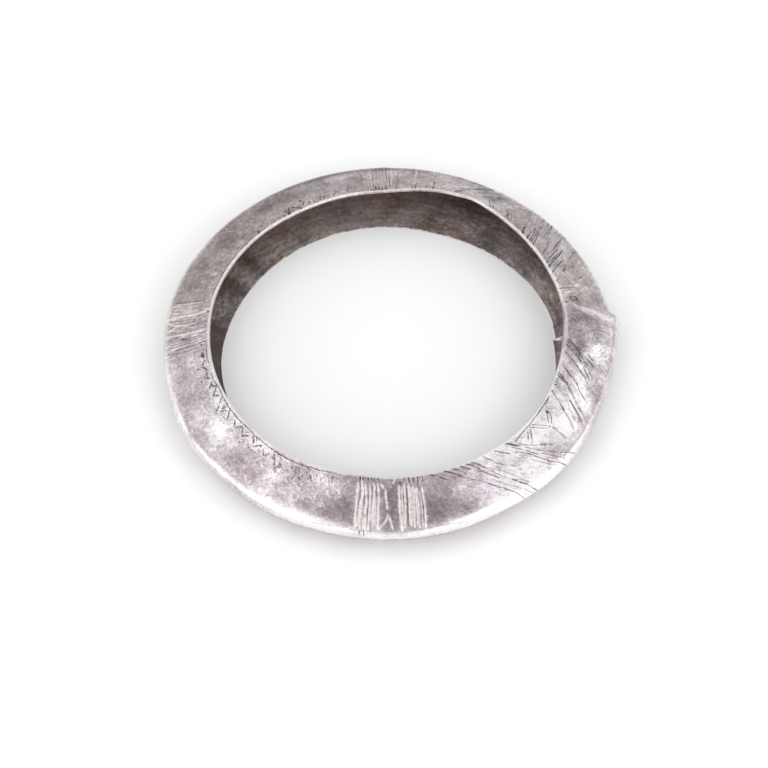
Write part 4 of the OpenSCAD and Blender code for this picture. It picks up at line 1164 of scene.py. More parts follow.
def tarnish_clouds():
    """Patches and fine mottling, as tarnish grows on old silver."""
    group, tree, given, out = new_group(
        "Tarnish clouds", (("Patch size", 3.0), ("Fine size", 0.6)),
        ("Patches", "Mottling", "Specks", "Drift"))
    place = tree.place()
    patch = tree.math("DIVIDE", 1 / MM, given["Patch size"])
    fine = tree.math("DIVIDE", 1 / MM, given["Fine size"])
    finer, broader = tree.math("MULTIPLY", fine, 3.4), tree.math("MULTIPLY", patch, 0.55)
    tree.feed(out["Patches"], tree.noise(place, patch, detail=5.0, roughness=0.6, distortion=0.4))
    tree.feed(out["Mottling"], tree.noise(place, fine, detail=4.0, roughness=0.65, distortion=0.2))
    tree.feed(out["Specks"], tree.noise(place, finer, detail=3.0, roughness=0.6))
    tree.feed(out["Drift"], tree.noise(place, broader, detail=2.0, roughness=0.5))
    return group


# Sets of handling scratches: how far they lean, how drawn out and how thin they are, and a shift that
# keeps the sets apart.
SCRATCH_SETS = ((0.25, 0.16, 5.0, 0.0), (-0.9, 0.28, 4.2, 31.0), (2.6, 0.35, 3.6, 67.0))
RING_RADIUS = 36.0           # mm, at which an angle counts as a length along the band


def handling_scratches():
    """Fine scratches along and across the band, from wear on the wrist."""
    group, tree, given, out = new_group(
        "Handling scratches", (("Coarseness", 1.0), ("Amount", 0.3)), ("Scratches",))
    x, y, z, radius = tree.polar(tree.place())
    along = tree.math("MULTIPLY", tree.math("ARCTAN2", y, x), RING_RADIUS)
    out_mm = tree.math("MULTIPLY", radius, 1 / MM)
    up_mm = tree.math("MULTIPLY", z, 1 / MM)
    total = None
    for lean, long, thin, shift in SCRATCH_SETS:
        a = tree.math("ADD", along, tree.math("MULTIPLY", out_mm, lean))
        b = tree.math("SUBTRACT", out_mm, tree.math("MULTIPLY", along, lean / (1 + lean * lean)))
        spot = tree.spot(tree.scaled(a, long, shift), tree.math("MULTIPLY", b, thin),
                         tree.math("MULTIPLY", up_mm, 0.6))
        grain = tree.noise(spot, given["Coarseness"], detail=1.0, roughness=0.4)
        streak = tree.span(grain, low=0.62, high=0.74)
        total = streak if total is None else tree.math("MAXIMUM", total, streak)
    tree.feed(out["Scratches"], tree.math("MULTIPLY", total, given["Amount"]))
    return group


def rubbed_and_highlit_edges():
    """Where hands and sleeves keep the metal bright, with painted highlights on the rims and the ridge and
    painted light at the inner end's step, broken up.
    """
    group, tree, given, out = new_group("Rubbed and highlit edges", (("Break up", 0.5),), ("Rubbed and highlit",))
    grain = tree.noise(tree.place(), scale=900.0, detail=4.0, roughness=0.6)
    broken = tree.math("MULTIPLY", given["Break up"], tree.span(grain, low=0.35, high=0.65))
    kept = tree.math("SUBTRACT", 1.0, broken)
    tree.feed(out["Rubbed and highlit"], tree.math("MULTIPLY", tree.mark("worn"), kept, clamp=True))
    return group


def band_streaks():
    """Streaks along the band, as dirt and drawing leave them."""
    group, tree, given, out = new_group("Band streaks", (("Length", 7.0), ("Width", 0.7)), ("Streaks",))
    x, y, _, radius = tree.polar(tree.place())
    slow = tree.math("DIVIDE", 1 / MM, given["Length"])
    quick = tree.math("DIVIDE", 1 / MM, given["Width"])
    spot = tree.spot(tree.math("MULTIPLY", x, slow), tree.math("MULTIPLY", y, slow),
                     tree.math("MULTIPLY", radius, quick))
    tree.feed(out["Streaks"], tree.noise(spot, scale=1.0, detail=3.0, roughness=0.6))
    return group


def cut_shades():
    """The dirt and the shine in the cut lines; the dark side also paints the dark reflection in the ridge's
    crease.
    """
    group, tree, given, out = new_group("Cut shades", (("Dirt", 1.0), ("Shine", 1.0)), ("Dirt and painted dark line", "Shining"))
    tone = tree.mark("tone")
    grain = tree.noise(tree.place(), scale=1400.0, detail=3.0, roughness=0.65)
    broken = tree.span(grain, low=0.3, high=0.55, to_low=0.55, to_high=1.0)
    edge = tree.span(tree.mark("cut"), low=0.0, high=0.38)
    for label, amount, sign in (("Dirt and painted dark line", "Dirt", -1.0), ("Shining", "Shine", 1.0)):
        shade = tree.math("MULTIPLY", edge, tree.math("MULTIPLY", tone, sign, clamp=True))
        shade = tree.math("MULTIPLY", shade, given[amount])
        tree.feed(out[label], tree.math("MULTIPLY", shade, broken, clamp=True))
    return group


def shaded(name):
    """A new material with its tree and its shader."""
    made = bpy.data.materials.new(name)
    made.use_nodes = True
    made.node_tree.nodes.clear()
    tree = Tree(made.node_tree)
    shader = tree.node("ShaderNodeBsdfPrincipled")
    tree.node("ShaderNodeOutputMaterial", {"Surface": shader.outputs[0]})
    return made, tree, shader.inputs


def placed(tree, group, **values):
    """A node group placed in a tree with its own values, as its outputs."""
    inputs = {name.replace("_", " "): value for name, value in values.items()}
    return tree.node("ShaderNodeGroup", inputs, node_tree=group).outputs


# How much each kind of cloud changes the tarnish of the outside, and the level that it changes.
OUTER_CLOUDS, OUTER_LEVEL = {"Patches": 1.6, "Mottling": 1.35, "Specks": 1.2}, 0.46
WORN_STOP = 0.42             # where worn silver stands on the way from bright to tarnished
CAST_DRIFT = 2.4             # how much the clouds change the cast
# The same inside the fold, where streaks join the clouds.
INNER_CLOUDS, INNER_PATCHES, INNER_LEVEL = {"Mottling": 1.1, "Specks": 0.9}, 0.9, -0.06
INNER_STREAKS = 1.0


def tarnished_silver(colours, groups):
    """The outside: worn silver under clouds of tarnish, with dirt and bright metal in the cut lines."""
    _, tree, shader = shaded("Tarnished silver")
    cloud = placed(tree, groups["clouds"], Patch_size=7.0, Fine_size=0.8)
    scratch = placed(tree, groups["scratches"], Coarseness=1.0, Amount=0.55)["Scratches"]
    rub_and_highlight = placed(tree, groups["rubbed_and_highlit"], Break_up=0.25)["Rubbed and highlit"]
    cut = placed(tree, groups["shades"], Dirt=1.0, Shine=0.9)
    not_rubbed_nor_highlit = tree.math("SUBTRACT", 1.0, rub_and_highlight)

    level = OUTER_LEVEL
    for name, amount in OUTER_CLOUDS.items():
        level = tree.uneven(cloud[name], amount, level)
    # The stains darken and pale the tarnish; some of the pale ones are painted highlights.
    level = tree.math("ADD", level, tree.mark("stain_and_painted_light"))
    level = tree.math("SUBTRACT", level, tree.math("MULTIPLY", scratch, 0.4))
    # Rubbed places, and the painted highlights on the rims and the ridge, lose their tarnish and turn to bright
    # silver.
    level = tree.math("MULTIPLY", tree.span(level, low=-0.35, high=1.35), not_rubbed_nor_highlit, clamp=True)

    ramp = tree.node("ShaderNodeValToRGB", {"Fac": level})
    stops = ramp.color_ramp.elements
    stops[0].color, stops[1].color = tuple(colours.bright), tuple(colours.tarnish)
    stops.new(WORN_STOP).color = tuple(colours.worn)
    hue = tree.math("MULTIPLY", tree.uneven(cloud["Drift"], CAST_DRIFT, tree.mark("hue")), not_rubbed_nor_highlit)
    colour = ramp.outputs[0]
    for sign, tint in ((1.0, colours.lilac), (-1.0, colours.olive)):
        share = tree.math("MULTIPLY", hue, sign, clamp=True)
        colour = tree.blend(share, colour, tuple(tint), "MULTIPLY")
    colour = tree.blend(cut["Shining"], colour, tuple(colours.fresh))
    tree.feed(shader["Base Color"], tree.blend(cut["Dirt and painted dark line"], colour, tuple(colours.dirt_and_dark_line)))

    rough = tree.scaled(level, by=0.12, plus=0.26)
    rough = tree.scaled(cut["Dirt and painted dark line"], by=0.35, plus=rough)
    tree.feed(shader["Roughness"], tree.scaled(cut["Shining"], by=0.12, plus=rough))
    tree.feed(shader["Metallic"], tree.scaled(cut["Dirt and painted dark line"], by=-0.6, plus=1.0))
    height = tree.scaled(cloud["Specks"], by=0.5, plus=tree.math("MULTIPLY", cloud["Mottling"], 0.6))
    height = tree.math("SUBTRACT", height, tree.math("MULTIPLY", scratch, 0.35))
    bump = tree.node("ShaderNodeBump", {"Height": height, "Strength": 0.35, "Distance": 0.06 * MM})
    tree.feed(shader["Normal"], bump.outputs[0])


def dark_channel_silver(colours, groups):
    """The inside of the fold: dull, dark, streaked along the band, brown in places, with a painted shade low on
    the back left.
    """
    _, tree, shader = shaded("Dark channel silver")
    cloud = placed(tree, groups["clouds"], Patch_size=4.0, Fine_size=0.9)
    streaks = placed(tree, groups["streaks"], Length=7.0, Width=0.7)["Streaks"]
    scratch = placed(tree, groups["scratches"], Coarseness=0.7, Amount=0.8)["Scratches"]
    rub_and_highlight = placed(tree, groups["rubbed_and_highlit"], Break_up=0.7)["Rubbed and highlit"]

    level = tree.scaled(cloud["Patches"], INNER_PATCHES, INNER_LEVEL)
    for name, amount in INNER_CLOUDS.items():
        level = tree.uneven(cloud[name], amount, level)
    level = tree.uneven(streaks, INNER_STREAKS, level)
    level = tree.scaled(scratch, by=0.3, plus=level)
    # The stains inside the fold darken it, with a painted shade towards its lower rim.
    level = tree.span(tree.math("SUBTRACT", level, tree.mark("stain_and_painted_light")), low=-0.3, high=1.3)

    colour = tree.blend(level, tuple(colours.inner_dark), tuple(colours.inner_light))
    browner = tree.span(cloud["Drift"], low=0.44, high=0.62)
    colour = tree.blend(browner, colour, tuple(colours.inner_brown), "MULTIPLY")
    # Rubbed places inside turn bright, and so does the painted light at the inner end's step.
    tree.feed(shader["Base Color"], tree.blend(rub_and_highlight, colour, tuple(colours.bright)))
    tree.feed(shader["Roughness"], tree.scaled(level, by=-0.18, plus=0.58))
    shader["Metallic"].default_value = 0.9
    height = tree.scaled(cloud["Specks"], by=0.6, plus=cloud["Mottling"])
    bump = tree.node("ShaderNodeBump", {"Height": height, "Strength": 0.5, "Distance": 0.1 * MM})
    tree.feed(shader["Normal"], bump.outputs[0])


def pale_floor(colour):
    """A plain pale surface, slightly uneven in tone and in gloss."""
    made, tree, shader = shaded("Pale floor")
    grain = tree.noise(tree.place(), scale=60.0, detail=3.0)
    greyer = tuple(0.985 * part for part in colour[:3]) + (1,)
    tree.feed(shader["Base Color"], tree.blend(tree.math("MULTIPLY", grain, 0.3), colour, greyer))
    tree.feed(shader["Roughness"], tree.span(grain, low=0.3, high=0.7, to_low=0.75, to_high=0.85))
    return made


# Stains on the upper face, and painted highlights: degrees round, mm down, mm along, mm across, how dark
# (below nothing: rubbed pale, and a painted highlight where named below), mm that it leans along for a mm
# down, and its cast (lilac above nothing, olive below).
STAINS_AND_HIGHLIGHTS = (
    # broad; the pale ones from 293 to 320 degrees are painted highlights, where the front's lower right mirrors
    # a lamp
    (135, 4.5, 22, 7, 0.18, 0, 0), (118, 5, 8, 5, 0.1, 0, 0), (30, 3.5, 16, 5, 0.08, 0, 0),
    (2, 3.4, 6, 5, 0.15, 0, 0), (348, 4, 5, 6, 0.08, 0, 0), (268, 4, 9, 6, 0.12, 0, 0.2),
    (320, 5, 16, 6, -0.25, 0, 0), (303, 8.4, 6, 1.6, -0.4, 0, 0), (38, 4, 12, 6, -0.12, 0, 0),
    (305, 5, 8, 5, -0.2, 0, 0), (293, 9.6, 9, 0.9, -0.3, 0, 0), (148, 4.5, 16, 5, 0.12, 0, 0),
    # lighter and darker stretches; the pale ones by the ridge at 244 and 286 degrees are painted highlights
    (218, 0.9, 10, 1.1, -0.3, 0, 0), (240, 1.2, 10, 1.2, -0.25, 0, 0), (232, 4.8, 2.6, 2.6, -0.3, 0, 0),
    (239, 4.6, 2.2, 1.8, 0.25, 0, 0), (248, 4.2, 3.4, 4.4, -0.2, 0, 0), (256, 7.6, 2.6, 1.4, -0.15, 0, 0),
    (273, 5.6, 2.6, 2.2, 0.2, 0, 0), (281, 2.2, 3.0, 2.4, 0.22, 0, 0), (288, 1.6, 3.0, 1.8, 0.2, 0, 0),
    (286, 8.4, 4.0, 1.0, -0.28, 0, 0), (306, 4.4, 5.0, 4.0, -0.15, 0, 0),
    (336, 2.6, 2.6, 1.5, -0.3, 0, 0), (344, 3.5, 2.8, 1.8, -0.3, 0, 0), (352, 2.5, 2.4, 1.3, -0.25, 0, 0),
    (333, 8.2, 5.0, 1.0, 0.25, 0, 0), (352, 8.2, 3.0, 1.0, 0.25, 0, 0), (17, 2.0, 3.0, 2.0, 0.2, 0, 0),
    (33, 8.2, 6.0, 0.9, 0.28, 0, 0), (60, 6.8, 6.0, 1.2, 0.25, 0, 0), (95, 8.3, 15.0, 1.0, 0.4, 0, 0),
    (95, 9.8, 9.0, 0.7, 0.2, 0, 0), (124, 4.8, 5.6, 2.4, -0.2, 0, 0), (160, 4.4, 2.8, 2.0, -0.25, 0, 0),
    (176, 8.2, 3.2, 1.2, 0.22, 0, 0), (104, 8.4, 18.0, 0.8, 0.32, 0, 0),
    (244, 8.3, 8.0, 0.8, -0.28, 0, 0), (232, 6.6, 2.2, 1.2, -0.25, 0, 0),
    (240.5, 0.9, 2.0, 0.8, 0.35, 0, 0), (256.5, 3.6, 2.0, 1.8, 0.2, 0, 0),
    (272, 5.4, 2.2, 2.0, 0.12, 0, 0), (286, 8.4, 4.0, 0.8, -0.15, 0, 0), (337, 7.6, 3.0, 1.4, 0.2, 0, 0),
    (320, 0.9, 3.0, 0.8, -0.3, 0, 0), (344, 2.8, 2.4, 1.2, -0.3, 0, 0), (352, 2.6, 2.0, 1.1, -0.2, 0, 0),
    (64, 3.6, 2.6, 2.0, -0.22, 0, 0), (64, 9.8, 3.0, 0.8, -0.25, 0, 0), (56, 6.5, 2.4, 1.2, 0.18, 0, 0),
    (55, 1.0, 2.4, 0.9, 0.2, 0, 0), (32, 8.2, 4.0, 0.8, 0.15, 0, 0), (128, 4.6, 3.0, 1.8, -0.14, 0, 0),
    # left
    (156, 5.5, 2.4, 1.6, 0.3, 0, 0), (161, 5.6, 1.8, 1.4, 0.3, 0, 0), (166, 3.5, 1.6, 1.4, 0.15, 0, 0),
    (166.5, 5.5, 1.4, 1.2, 0.2, 0, 0), (174.2, 4.8, 1.0, 2.4, 0.3, 0, 0.2),
    (177.5, 4.5, 1.0, 1.8, 0.2, 0, 0.6), (181, 4.2, 0.7, 1.2, 0.5, 0, 0),
    (182.5, 2.2, 1.2, 1.0, -0.15, 0, 0), (189, 6, 2.2, 1.4, 0.3, 0, 0), (193.5, 5.8, 1.8, 1.2, 0.2, 0, 0),
    (200, 4.6, 4, 2.4, 0.12, 0, 0), (202, 6.5, 2.2, 1.1, 0.25, 0, 0.3), (205, 1.7, 1.6, 0.8, -0.4, 0, 0),
    (206.5, 6.5, 1.4, 1.0, -0.2, 0, 0),
    # left of the front; the pale spot at 213.8 degrees and the pale band by the ridge at 243 degrees are
    # painted highlights
    (213.8, 4, 3.0, 1.7, -0.5, 0.3, 0), (219, 2.2, 1.6, 0.9, -0.2, 0, 0),
    (224.5, 5.5, 3.2, 1.8, 0.35, 0, 0.7), (211.5, 7.4, 1.8, 0.9, 0.25, 0, 0.3),
    (230.5, 6.5, 2.0, 1.1, 0.2, 0, 0.4), (232, 5.4, 1.6, 1.3, 0.25, 0, 0.6),
    (235.5, 4, 1.6, 1.2, -0.15, 0, 0), (236, 1.6, 2.6, 0.8, 0.2, 0, 0), (242.5, 2, 2.2, 1.1, 0.45, 0, 0),
    (244, 5, 2.0, 1.4, -0.12, 0, 0), (248, 6.6, 2.2, 1.2, 0.3, 0, 0.6),
    (253.5, 6.5, 2.0, 1.4, 0.4, 0, 0.6), (250, 1.7, 1.8, 0.6, -0.3, 0, 0),
    (255.3, 2.7, 1.0, 0.9, -0.25, 0, 0), (252.5, 2.2, 1.2, 0.6, -0.2, 0, 0),
    (243, 9.1, 6.0, 0.6, -0.35, 0, 0),
    # front; the pale stain at 298.5 degrees by the ridge is a painted highlight
    (258.2, 5.7, 1.1, 3.0, 0.4, 0, 0.2), (270, 4.5, 1.5, 4.5, 0.5, 0, 0.2),
    (283, 4.7, 2.4, 3.0, 0.42, 0, 0.3), (283.5, 2.5, 1.6, 0.9, -0.2, 0, 0),
    (288.5, 6, 2.6, 2.2, 0.4, 0, 0.3), (290, 2.8, 1.5, 0.9, -0.3, 0, -0.4),
    (298.5, 8.3, 3.2, 1.3, -0.8, -0.9, 0), (301, 1, 1.6, 0.7, -0.5, 0, 0), (298, 2, 1.5, 0.8, 0.2, 0, 0),
    (306.5, 5.7, 1.6, 1.0, 0.15, 0, 0),
    # right of the front; the pale stains at 312.5 degrees by the ridge and at 339.5 degrees are painted
    # highlights
    (312.5, 8.3, 2.4, 1.0, -0.5, 0, 0), (312, 2.8, 2.2, 0.9, 0.25, 0.8, 0),
    (317.5, 5.7, 1.4, 1.0, 0.3, 0, 0), (320, 5.7, 1.2, 1.0, 0.3, 0, 0), (318.5, 2, 1.6, 0.9, -0.6, 0, 0),
    (323.5, 1.7, 1.6, 0.7, -0.6, 0, 0), (328.5, 4.3, 2.0, 1.7, -0.8, 0, 0),
    (324.5, 6.5, 1.6, 1.0, 0.2, 0, 0), (325, 8.5, 2.0, 0.7, 0.15, 0, 0), (333, 5.7, 1.6, 1.2, 0.15, 0, 0),
    (339.5, 4.4, 1.3, 2.4, -0.8, -0.85, 0), (340, 1.2, 1.6, 0.7, 0.2, 0, 0),
    (344, 7, 2.0, 1.1, 0.3, 0, 0), (349, 2.8, 0.9, 0.8, -0.5, 0, 0), (350.5, 4.3, 1.4, 1.1, 0.2, 0, 0),
    (354, 1.5, 1.8, 0.9, 0.5, 0, 0.2), (355, 5, 2.2, 1.5, -0.4, 0, 0),
    # the lap and beyond it
    (357.5, 1.9, 1.8, 1.0, 0.45, 0, 0.1), (357, 5.2, 1.8, 1.2, -0.3, 0, 0),
    (7.2, 1.6, 1.8, 0.9, 0.4, 0, 0), (6.8, 3.2, 0.6, 0.4, 0.5, 0, 0), (359.5, 4.8, 1.4, 1.0, 0.3, 0, 0),
    (2.6, 5, 2.4, 0.9, 0.25, 0.8, 0), (9.0, 5.2, 0.45, 4.0, -0.4, -0.42, 0),
    (13.3, 2.1, 1.1, 0.8, 0.5, 0, -0.6), (15.5, 6.2, 1.8, 1.2, 0.2, 0, -0.3),
    (22.5, 1.2, 2.0, 0.8, 0.15, 0, -0.4), (24.5, 4.7, 2.4, 1.4, 0.1, 0, 0),
    (35.5, 1.5, 2.0, 0.9, 0.15, 0, 0), (49, 4.5, 2.6, 1.6, 0.25, 0, 0), (58, 5, 2.0, 1.3, 0.15, 0, 0),
    (65.7, 1.5, 1.8, 0.8, 0.4, 0, -0.8), (59.7, 4.4, 1.6, 1.2, 0.25, 0, 0),
    (71, 5.3, 2.0, 1.3, 0.1, 0, 0),
    # back
    (80, 0.9, 1.6, 0.6, 0.25, 0, -0.3), (85.2, 0.8, 1.2, 0.6, -0.1, 0, 0.3),
    (87.7, 3.5, 1.6, 1.3, 0.2, 0, 0), (92.7, 1.5, 1.8, 0.8, 0.3, 0, -0.8),
    (99.5, 5.5, 2.0, 1.4, 0.2, 0, 0.8), (107, 1.4, 1.6, 0.8, -0.2, 0, 0),
    (107.5, 3.5, 2.0, 1.2, -0.2, 0, 0), (103.5, 6.8, 2.6, 0.9, -0.4, 0, 0),
    (111, 3.5, 1.6, 1.2, 0.15, 0, 0), (119, 5, 2.4, 1.4, 0.3, 0, 0), (121, 1, 1.8, 0.8, 0.3, 0, -0.8),
    (126.5, 6, 2.4, 1.2, 0.4, 0, 0), (128.5, 5.5, 2.0, 1.2, 0.3, 0, 0), (137, 4.7, 2.2, 1.3, -0.1, 0, 0),
    (143, 5, 2.6, 1.5, 0.4, 0, -0.6), (142.2, 2, 0.9, 0.8, -0.5, 0, 0), (153, 6.2, 2.2, 1.2, 0.4, 0, 0),
)

# Spots inside the fold: degrees round, mm up, mm wide, and how dark.
CHANNEL_SPOTS = (
    (174, 1.2, 0.8, 0.9), (174.6, 2.2, 0.4, -1.4), (176.5, 0.7, 0.9, 0.8), (168, 1.0, 1.1, 0.5),
    (150, 0.9, 1.3, 0.4), (140, 0.8, 1.6, 0.4), (112, 6.6, 0.5, -0.5), (116, 6.2, 0.4, -0.6),
    (109, 5.2, 0.5, -0.5), (128, 5.4, 0.6, -0.5), (132, 4.6, 0.5, -0.6), (60, 6.2, 1.6, 0.4),
    (52, 5.0, 1.4, 0.4), (66, 4.4, 0.9, -0.4), (84, 3.2, 1.6, -0.3), (94, 2.4, 1.4, -0.3),
)
# The same all across it: degrees round, mm along, and how dark.
CHANNEL_STAINS = ((58, 16, 0.35), (190, 12, 0.6), (118, 20, -0.1), (165, 8, 0.1), (5, 8, 0.2))
# And a painted shade towards the lower rim, where the fold's lower flank would catch light from above:
# degrees round, degrees to either side, and how dark.
LOW_PAINTED_SHADE = (142, 45, 0.22)


def stain_and_light_band(piece):
    """Marks the stains, the painted highlights and shade among them, and the cast of the tarnish at the points
    of the band.
    """
    mesh = piece.data
    co = np.zeros(len(mesh.vertices) * 3, np.float32)
    mesh.vertices.foreach_get("co", co)
    x, y, z = (co.reshape(-1, 3) / MM).T
    turn, radius = np.degrees(np.arctan2(y, x)), np.hypot(x, y)
    down = np.hypot(radius - RIM_RADIUS, BAND_HEIGHT - z)
    shade, hue = np.zeros(len(mesh.vertices)), round_band(CAST, turn)
    for angle, at, long, wide, dark, lean, tint in STAINS_AND_HIGHLIGHTS:
        along = half_turn(turn - angle) * LONG - lean * (down - at)
        share = np.exp(-(along / long) ** 2 - ((down - at) / wide) ** 2)
        shade += dark * share
        hue += tint * share
    inner = np.zeros(len(mesh.vertices), bool)
    for face in mesh.polygons:
        if face.material_index == 1:
            inner[list(face.vertices)] = True
    shade[(z < MID_HEIGHT) | inner] = 0
    stain_and_shade_channel(shade, inner, turn, z)
    mark_points(mesh, "stain_and_painted_light", shade)
    mark_points(mesh, "hue", hue)


def stain_and_shade_channel(shade, inner, turn, z):
    """Adds the stains inside the fold, and the painted shade towards its lower rim."""
    for angle, long, dark in CHANNEL_STAINS:
        along = half_turn(turn[inner] - angle) * LONG
        shade[inner] += dark * np.exp(-(along / long) ** 2)
    for angle, at, wide, dark in CHANNEL_SPOTS:
        along = half_turn(turn[inner] - angle) * LONG
        shade[inner] += dark * np.exp(-(along ** 2 + (z[inner] - at) ** 2) / wide ** 2)
    # Painted shade, growing towards the lower rim.
    angle, reach, dark = LOW_PAINTED_SHADE
    low = np.exp(-(half_turn(turn - angle) / reach) ** 2) * ease(1 - z / MID_HEIGHT)
    shade[inner] += dark * low[inner]


# The settings

def colour_setting(name, description, red, green, blue):
    """A colour that a user can change."""
    return FloatVectorProperty(name=name, description=description, subtype="COLOR", size=4, min=0, max=1,
                               default=(red, green, blue, 1))


class BandSizes(bpy.types.PropertyGroup):
    row_step: FloatProperty(
        name="Row step", description="Degrees between two rows across the band",
        default=0.6, min=0.5, max=3)
    spacing: FloatProperty(
        name="Spacing", description="Distance between points on the plain upper face",
        default=0.00062, unit="LENGTH")
    cut_size: FloatProperty(
        name="Cut width", description="Width of the cut lines, as a share of the charted width",
        default=1.2, min=0.5, max=2)
    cut_deep: FloatProperty(
        name="Cut depth", description="Depth of the cut lines, as a share of the charted depth",
        default=1.0, min=0.2, max=2)
    unevenness: FloatProperty(
        name="Unevenness", description="How far hammering and wear have moved the sheet",
        default=0.00006, unit="LENGTH")
    nick_depth: FloatProperty(
        name="Nick depth", description="Depth of the nicks in the lower rim's inner edge",
        default=0.00042, unit="LENGTH")
    crease: FloatProperty(
        name="Crease angle", description="Degrees above which an edge stays sharp",
        default=34.0, min=10, max=90)


class SilverColours(bpy.types.PropertyGroup):
    # This colour also paints the highlights on the rims, the ridge and the pale stains.
    bright: colour_setting("Rubbed silver", "Colour of clean, rubbed silver", 0.93, 0.90, 0.895)
    worn: colour_setting("Worn silver", "Colour of the silver between the stains", 0.56, 0.505, 0.51)
    tarnish: colour_setting("Tarnish", "Colour of the tarnished patches", 0.225, 0.188, 0.194)
    lilac: colour_setting("Lilac cast", "Tint of the thinnest tarnish", 0.985, 0.95, 1.0)
    olive: colour_setting("Olive cast", "Tint of the brownish tarnish", 1.0, 0.97, 0.925)
    # The dirt colour also paints the dark reflection in the ridge's crease.
    dirt_and_dark_line: colour_setting("Dirt", "Colour of the dirt in the cut lines", 0.035, 0.028, 0.028)
    fresh: colour_setting("Cut silver", "Colour of the bright cut lines", 0.88, 0.80, 0.77)
    inner_dark: colour_setting("Channel, dark", "Darkest colour inside the fold", 0.108, 0.09, 0.084)
    inner_brown: colour_setting("Channel, brown cast", "Tint of the brown patches inside it", 1.0, 0.91, 0.79)
    inner_light: colour_setting("Channel, light", "Lightest colour inside the fold", 0.58, 0.51, 0.49)


class StudioSizes(bpy.types.PropertyGroup):
    floor: colour_setting("Floor", "Colour of the floor", 0.955, 0.955, 0.955)
    camera_at: FloatVectorProperty(
        name="Camera place", description="Where the camera stands", subtype="XYZ", unit="LENGTH",
        size=3, default=(-0.00123, -0.42601, 0.5799))
    camera_pitch: FloatProperty(
        name="Camera tilt", description="Turn of the camera up from straight down", subtype="ANGLE",
        default=math.radians(36))
    lens: FloatProperty(
        name="Lens", description="Focal length in mm on a 36 mm frame", default=187.3, min=20, max=400)
    sky: FloatProperty(
        name="Room light", description="Strength of the light from all round", default=0.6, min=0, max=5)
    panels: FloatProperty(
        name="Panel light", description="Strength of the soft panels, as a share",
        default=1.0, min=0, max=10)


# The steps

class BRACELET_OT_finishes(bpy.types.Operator):
    """Make the two silver finishes"""
    bl_idname = "bracelet.finishes"
    bl_label = "Make finishes"

    def execute(self, context):
        colours = context.scene.bracelet_colours
        groups = {"clouds": tarnish_clouds(), "scratches": handling_scratches(), "rubbed_and_highlit": rubbed_and_highlit_edges(),
                  "shades": cut_shades(), "streaks": band_streaks()}
        tarnished_silver(colours, groups)
        dark_channel_silver(colours, groups)
        return {"FINISHED"}


class BRACELET_OT_band(bpy.types.Operator):
    """Build the folded band with its cut lines"""
    bl_idname = "bracelet.band"
    bl_label = "Build band"

    def execute(self, context):
        finishes = [bpy.data.materials[name] for name in ("Tarnished silver", "Dark channel silver")]
        piece = make_band(context.scene.bracelet_band, finishes)
        stain_and_light_band(piece)
        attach(piece, "root")
        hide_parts("band")
        return {"FINISHED"}


FLOOR_HALF = 1.5             # metres
ROOM_COLOUR = (0.975, 0.98, 1.0, 1)
PANEL_AWAY, PANEL_TALL = 1.2, 0.52       # metres
# The soft panels, all turned to the ring: name, degrees round of each, degrees up, metres wide, and how
# bright they are beside the room.
PANELS = (
    ("Low left panel", (-180, -150, -120), 12, 0.66, 1.35), ("Low front panel", (-90,), 12, 0.66, 0.25),
    ("Low right front panel", (-60, -30, 0), 12, 0.66, 1.15),
    ("Low right panel", (30, 60), 12, 0.66, 0.22), ("Low back panel", (90, 120), 12, 0.66, 0.15),
    ("Low back left panel", (150,), 12, 0.66, 0.60), ("Left front panel", (-150, -120), 38, 0.66, 0.96),
    ("Right front panel", (-60, -30), 38, 0.66, 1.36), ("Right panel", (30,), 38, 0.66, 0.70),
    ("Back panel", (60, 90, 120), 38, 0.66, 0.08), ("Back left panel", (150,), 38, 0.66, 0.56),
    ("High left panel", (-165, 150), 63, 0.5, 0.77), ("High right panel", (15, 60), 63, 0.5, 0.44),
    ("High left front panel", (-120,), 63, 0.5, 0.29), ("High right front panel", (-30,), 63, 0.5, 0.37),
    ("High back panel", (90,), 56, 0.5, 0.26),
)


def place_camera(scene, studio):
    """The camera, at the height and the tilt at which the ring is seen."""
    camera = bpy.data.objects.new("Camera", bpy.data.cameras.new("Camera"))
    camera.location = studio.camera_at
    camera.rotation_euler = (studio.camera_pitch, 0, 0)
    camera.data.lens = studio.lens
    camera.data.sensor_width = 36
    camera.data.clip_start, camera.data.clip_end = 0.01, 20
    scene.collection.objects.link(camera)
    scene.camera = camera


def lay_floor(scene, studio):
    """The floor that the bracelet lies on."""
    mesh = bpy.data.meshes.new("Floor")
    corners = [(x * FLOOR_HALF, y * FLOOR_HALF, 0) for x, y in ((-1, -1), (1, -1), (1, 1), (-1, 1))]
    mesh.from_pydata(corners, [], [(0, 1, 2, 3)])
    mesh.materials.append(pale_floor(tuple(studio.floor)))
    floor = bpy.data.objects.new("Floor", mesh)
    scene.collection.objects.link(floor)


def light_room(scene, strength):
    """Even light from all round."""
    room = bpy.data.worlds.new("Studio room")
    scene.world = room
    room.use_nodes = True
    room.node_tree.nodes.clear()
    tree = Tree(room.node_tree)
    back = tree.node("ShaderNodeBackground", {"Color": ROOM_COLOUR, "Strength": strength})
    tree.node("ShaderNodeOutputWorld", {"Surface": back.outputs[0]})


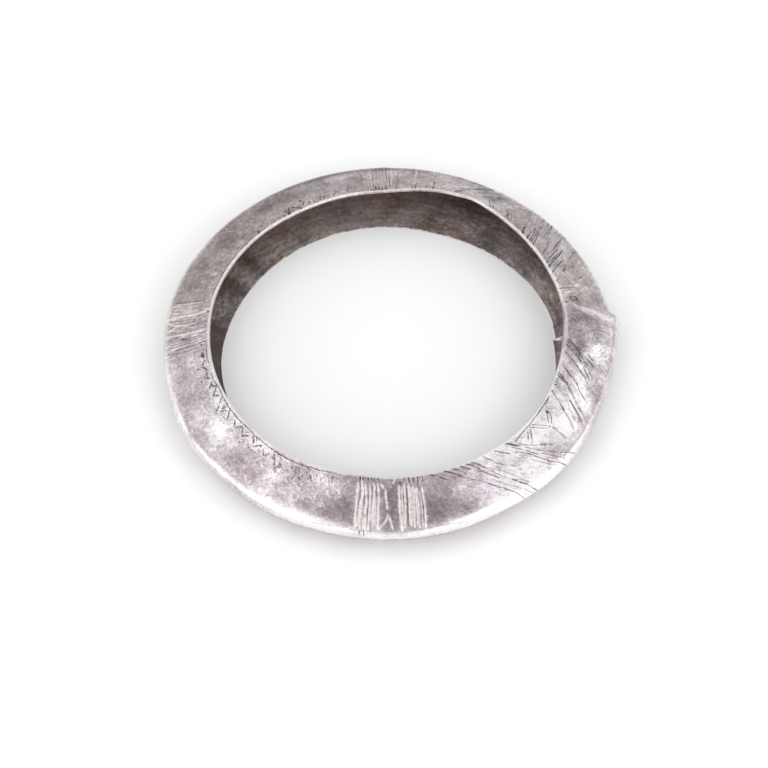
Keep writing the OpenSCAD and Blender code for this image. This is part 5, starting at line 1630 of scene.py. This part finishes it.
def hang_panels(scene, share):
    """The soft panels, each facing the ring from its direction."""
    for name, turns, rise, wide, strength in PANELS:
        light = bpy.data.lights.new(name, "AREA")
        light.shape = "RECTANGLE"
        light.size, light.size_y = wide, PANEL_TALL
        light.energy = strength * share * math.pi * wide * PANEL_TALL
        up = math.radians(rise)
        for turn in map(math.radians, turns):
            way = Vector((math.cos(up) * math.cos(turn), math.cos(up) * math.sin(turn), math.sin(up)))
            place = PANEL_AWAY * way
            panel = bpy.data.objects.new(name, light)
            panel.location = place
            panel.rotation_euler = (-place).to_track_quat("-Z", "Y").to_euler()
            panel.visible_camera = False
            scene.collection.objects.link(panel)


class BRACELET_OT_studio(bpy.types.Operator):
    """Set the floor, the soft light and the camera"""
    bl_idname = "bracelet.studio"
    bl_label = "Set up studio"

    def execute(self, context):
        scene = context.scene
        studio = scene.bracelet_studio
        scene.view_settings.view_transform = "Standard"
        place_camera(scene, studio)
        lay_floor(scene, studio)
        light_room(scene, studio.sky)
        hang_panels(scene, studio.panels)
        return {"FINISHED"}


class BRACELET_PT_maker(bpy.types.Panel):
    """Lists the sizes, the colours and the steps"""
    bl_label = "Bracelet"
    bl_idname = "BRACELET_PT_maker"
    bl_space_type = "VIEW_3D"
    bl_region_type = "UI"
    bl_category = "Bracelet"

    def draw(self, context):
        scene = context.scene
        for title, group, step in (
            ("Studio", scene.bracelet_studio, "bracelet.studio"),
            ("Finishes", scene.bracelet_colours, "bracelet.finishes"),
            ("Band", scene.bracelet_band, "bracelet.band"),
        ):
            box = self.layout.box()
            box.label(text=title)
            for name in group.__annotations__:
                box.prop(group, name)
            box.operator(step)


CLASSES = (BandSizes, SilverColours, StudioSizes,
           BRACELET_OT_finishes, BRACELET_OT_band, BRACELET_OT_studio, BRACELET_PT_maker)
SETTINGS = {"bracelet_band": BandSizes, "bracelet_colours": SilverColours, "bracelet_studio": StudioSizes}


def register():
    for made in CLASSES:
        bpy.utils.register_class(made)
    for name, group in SETTINGS.items():
        setattr(bpy.types.Scene, name, PointerProperty(type=group))


def unregister():
    for name in SETTINGS:
        delattr(bpy.types.Scene, name)
    for made in reversed(CLASSES):
        bpy.utils.unregister_class(made)


def main():
    register()
    bpy.ops.bracelet.studio()
    bpy.ops.bracelet.finishes()
    bpy.ops.bracelet.band()


if __name__ == "__main__":
    main()
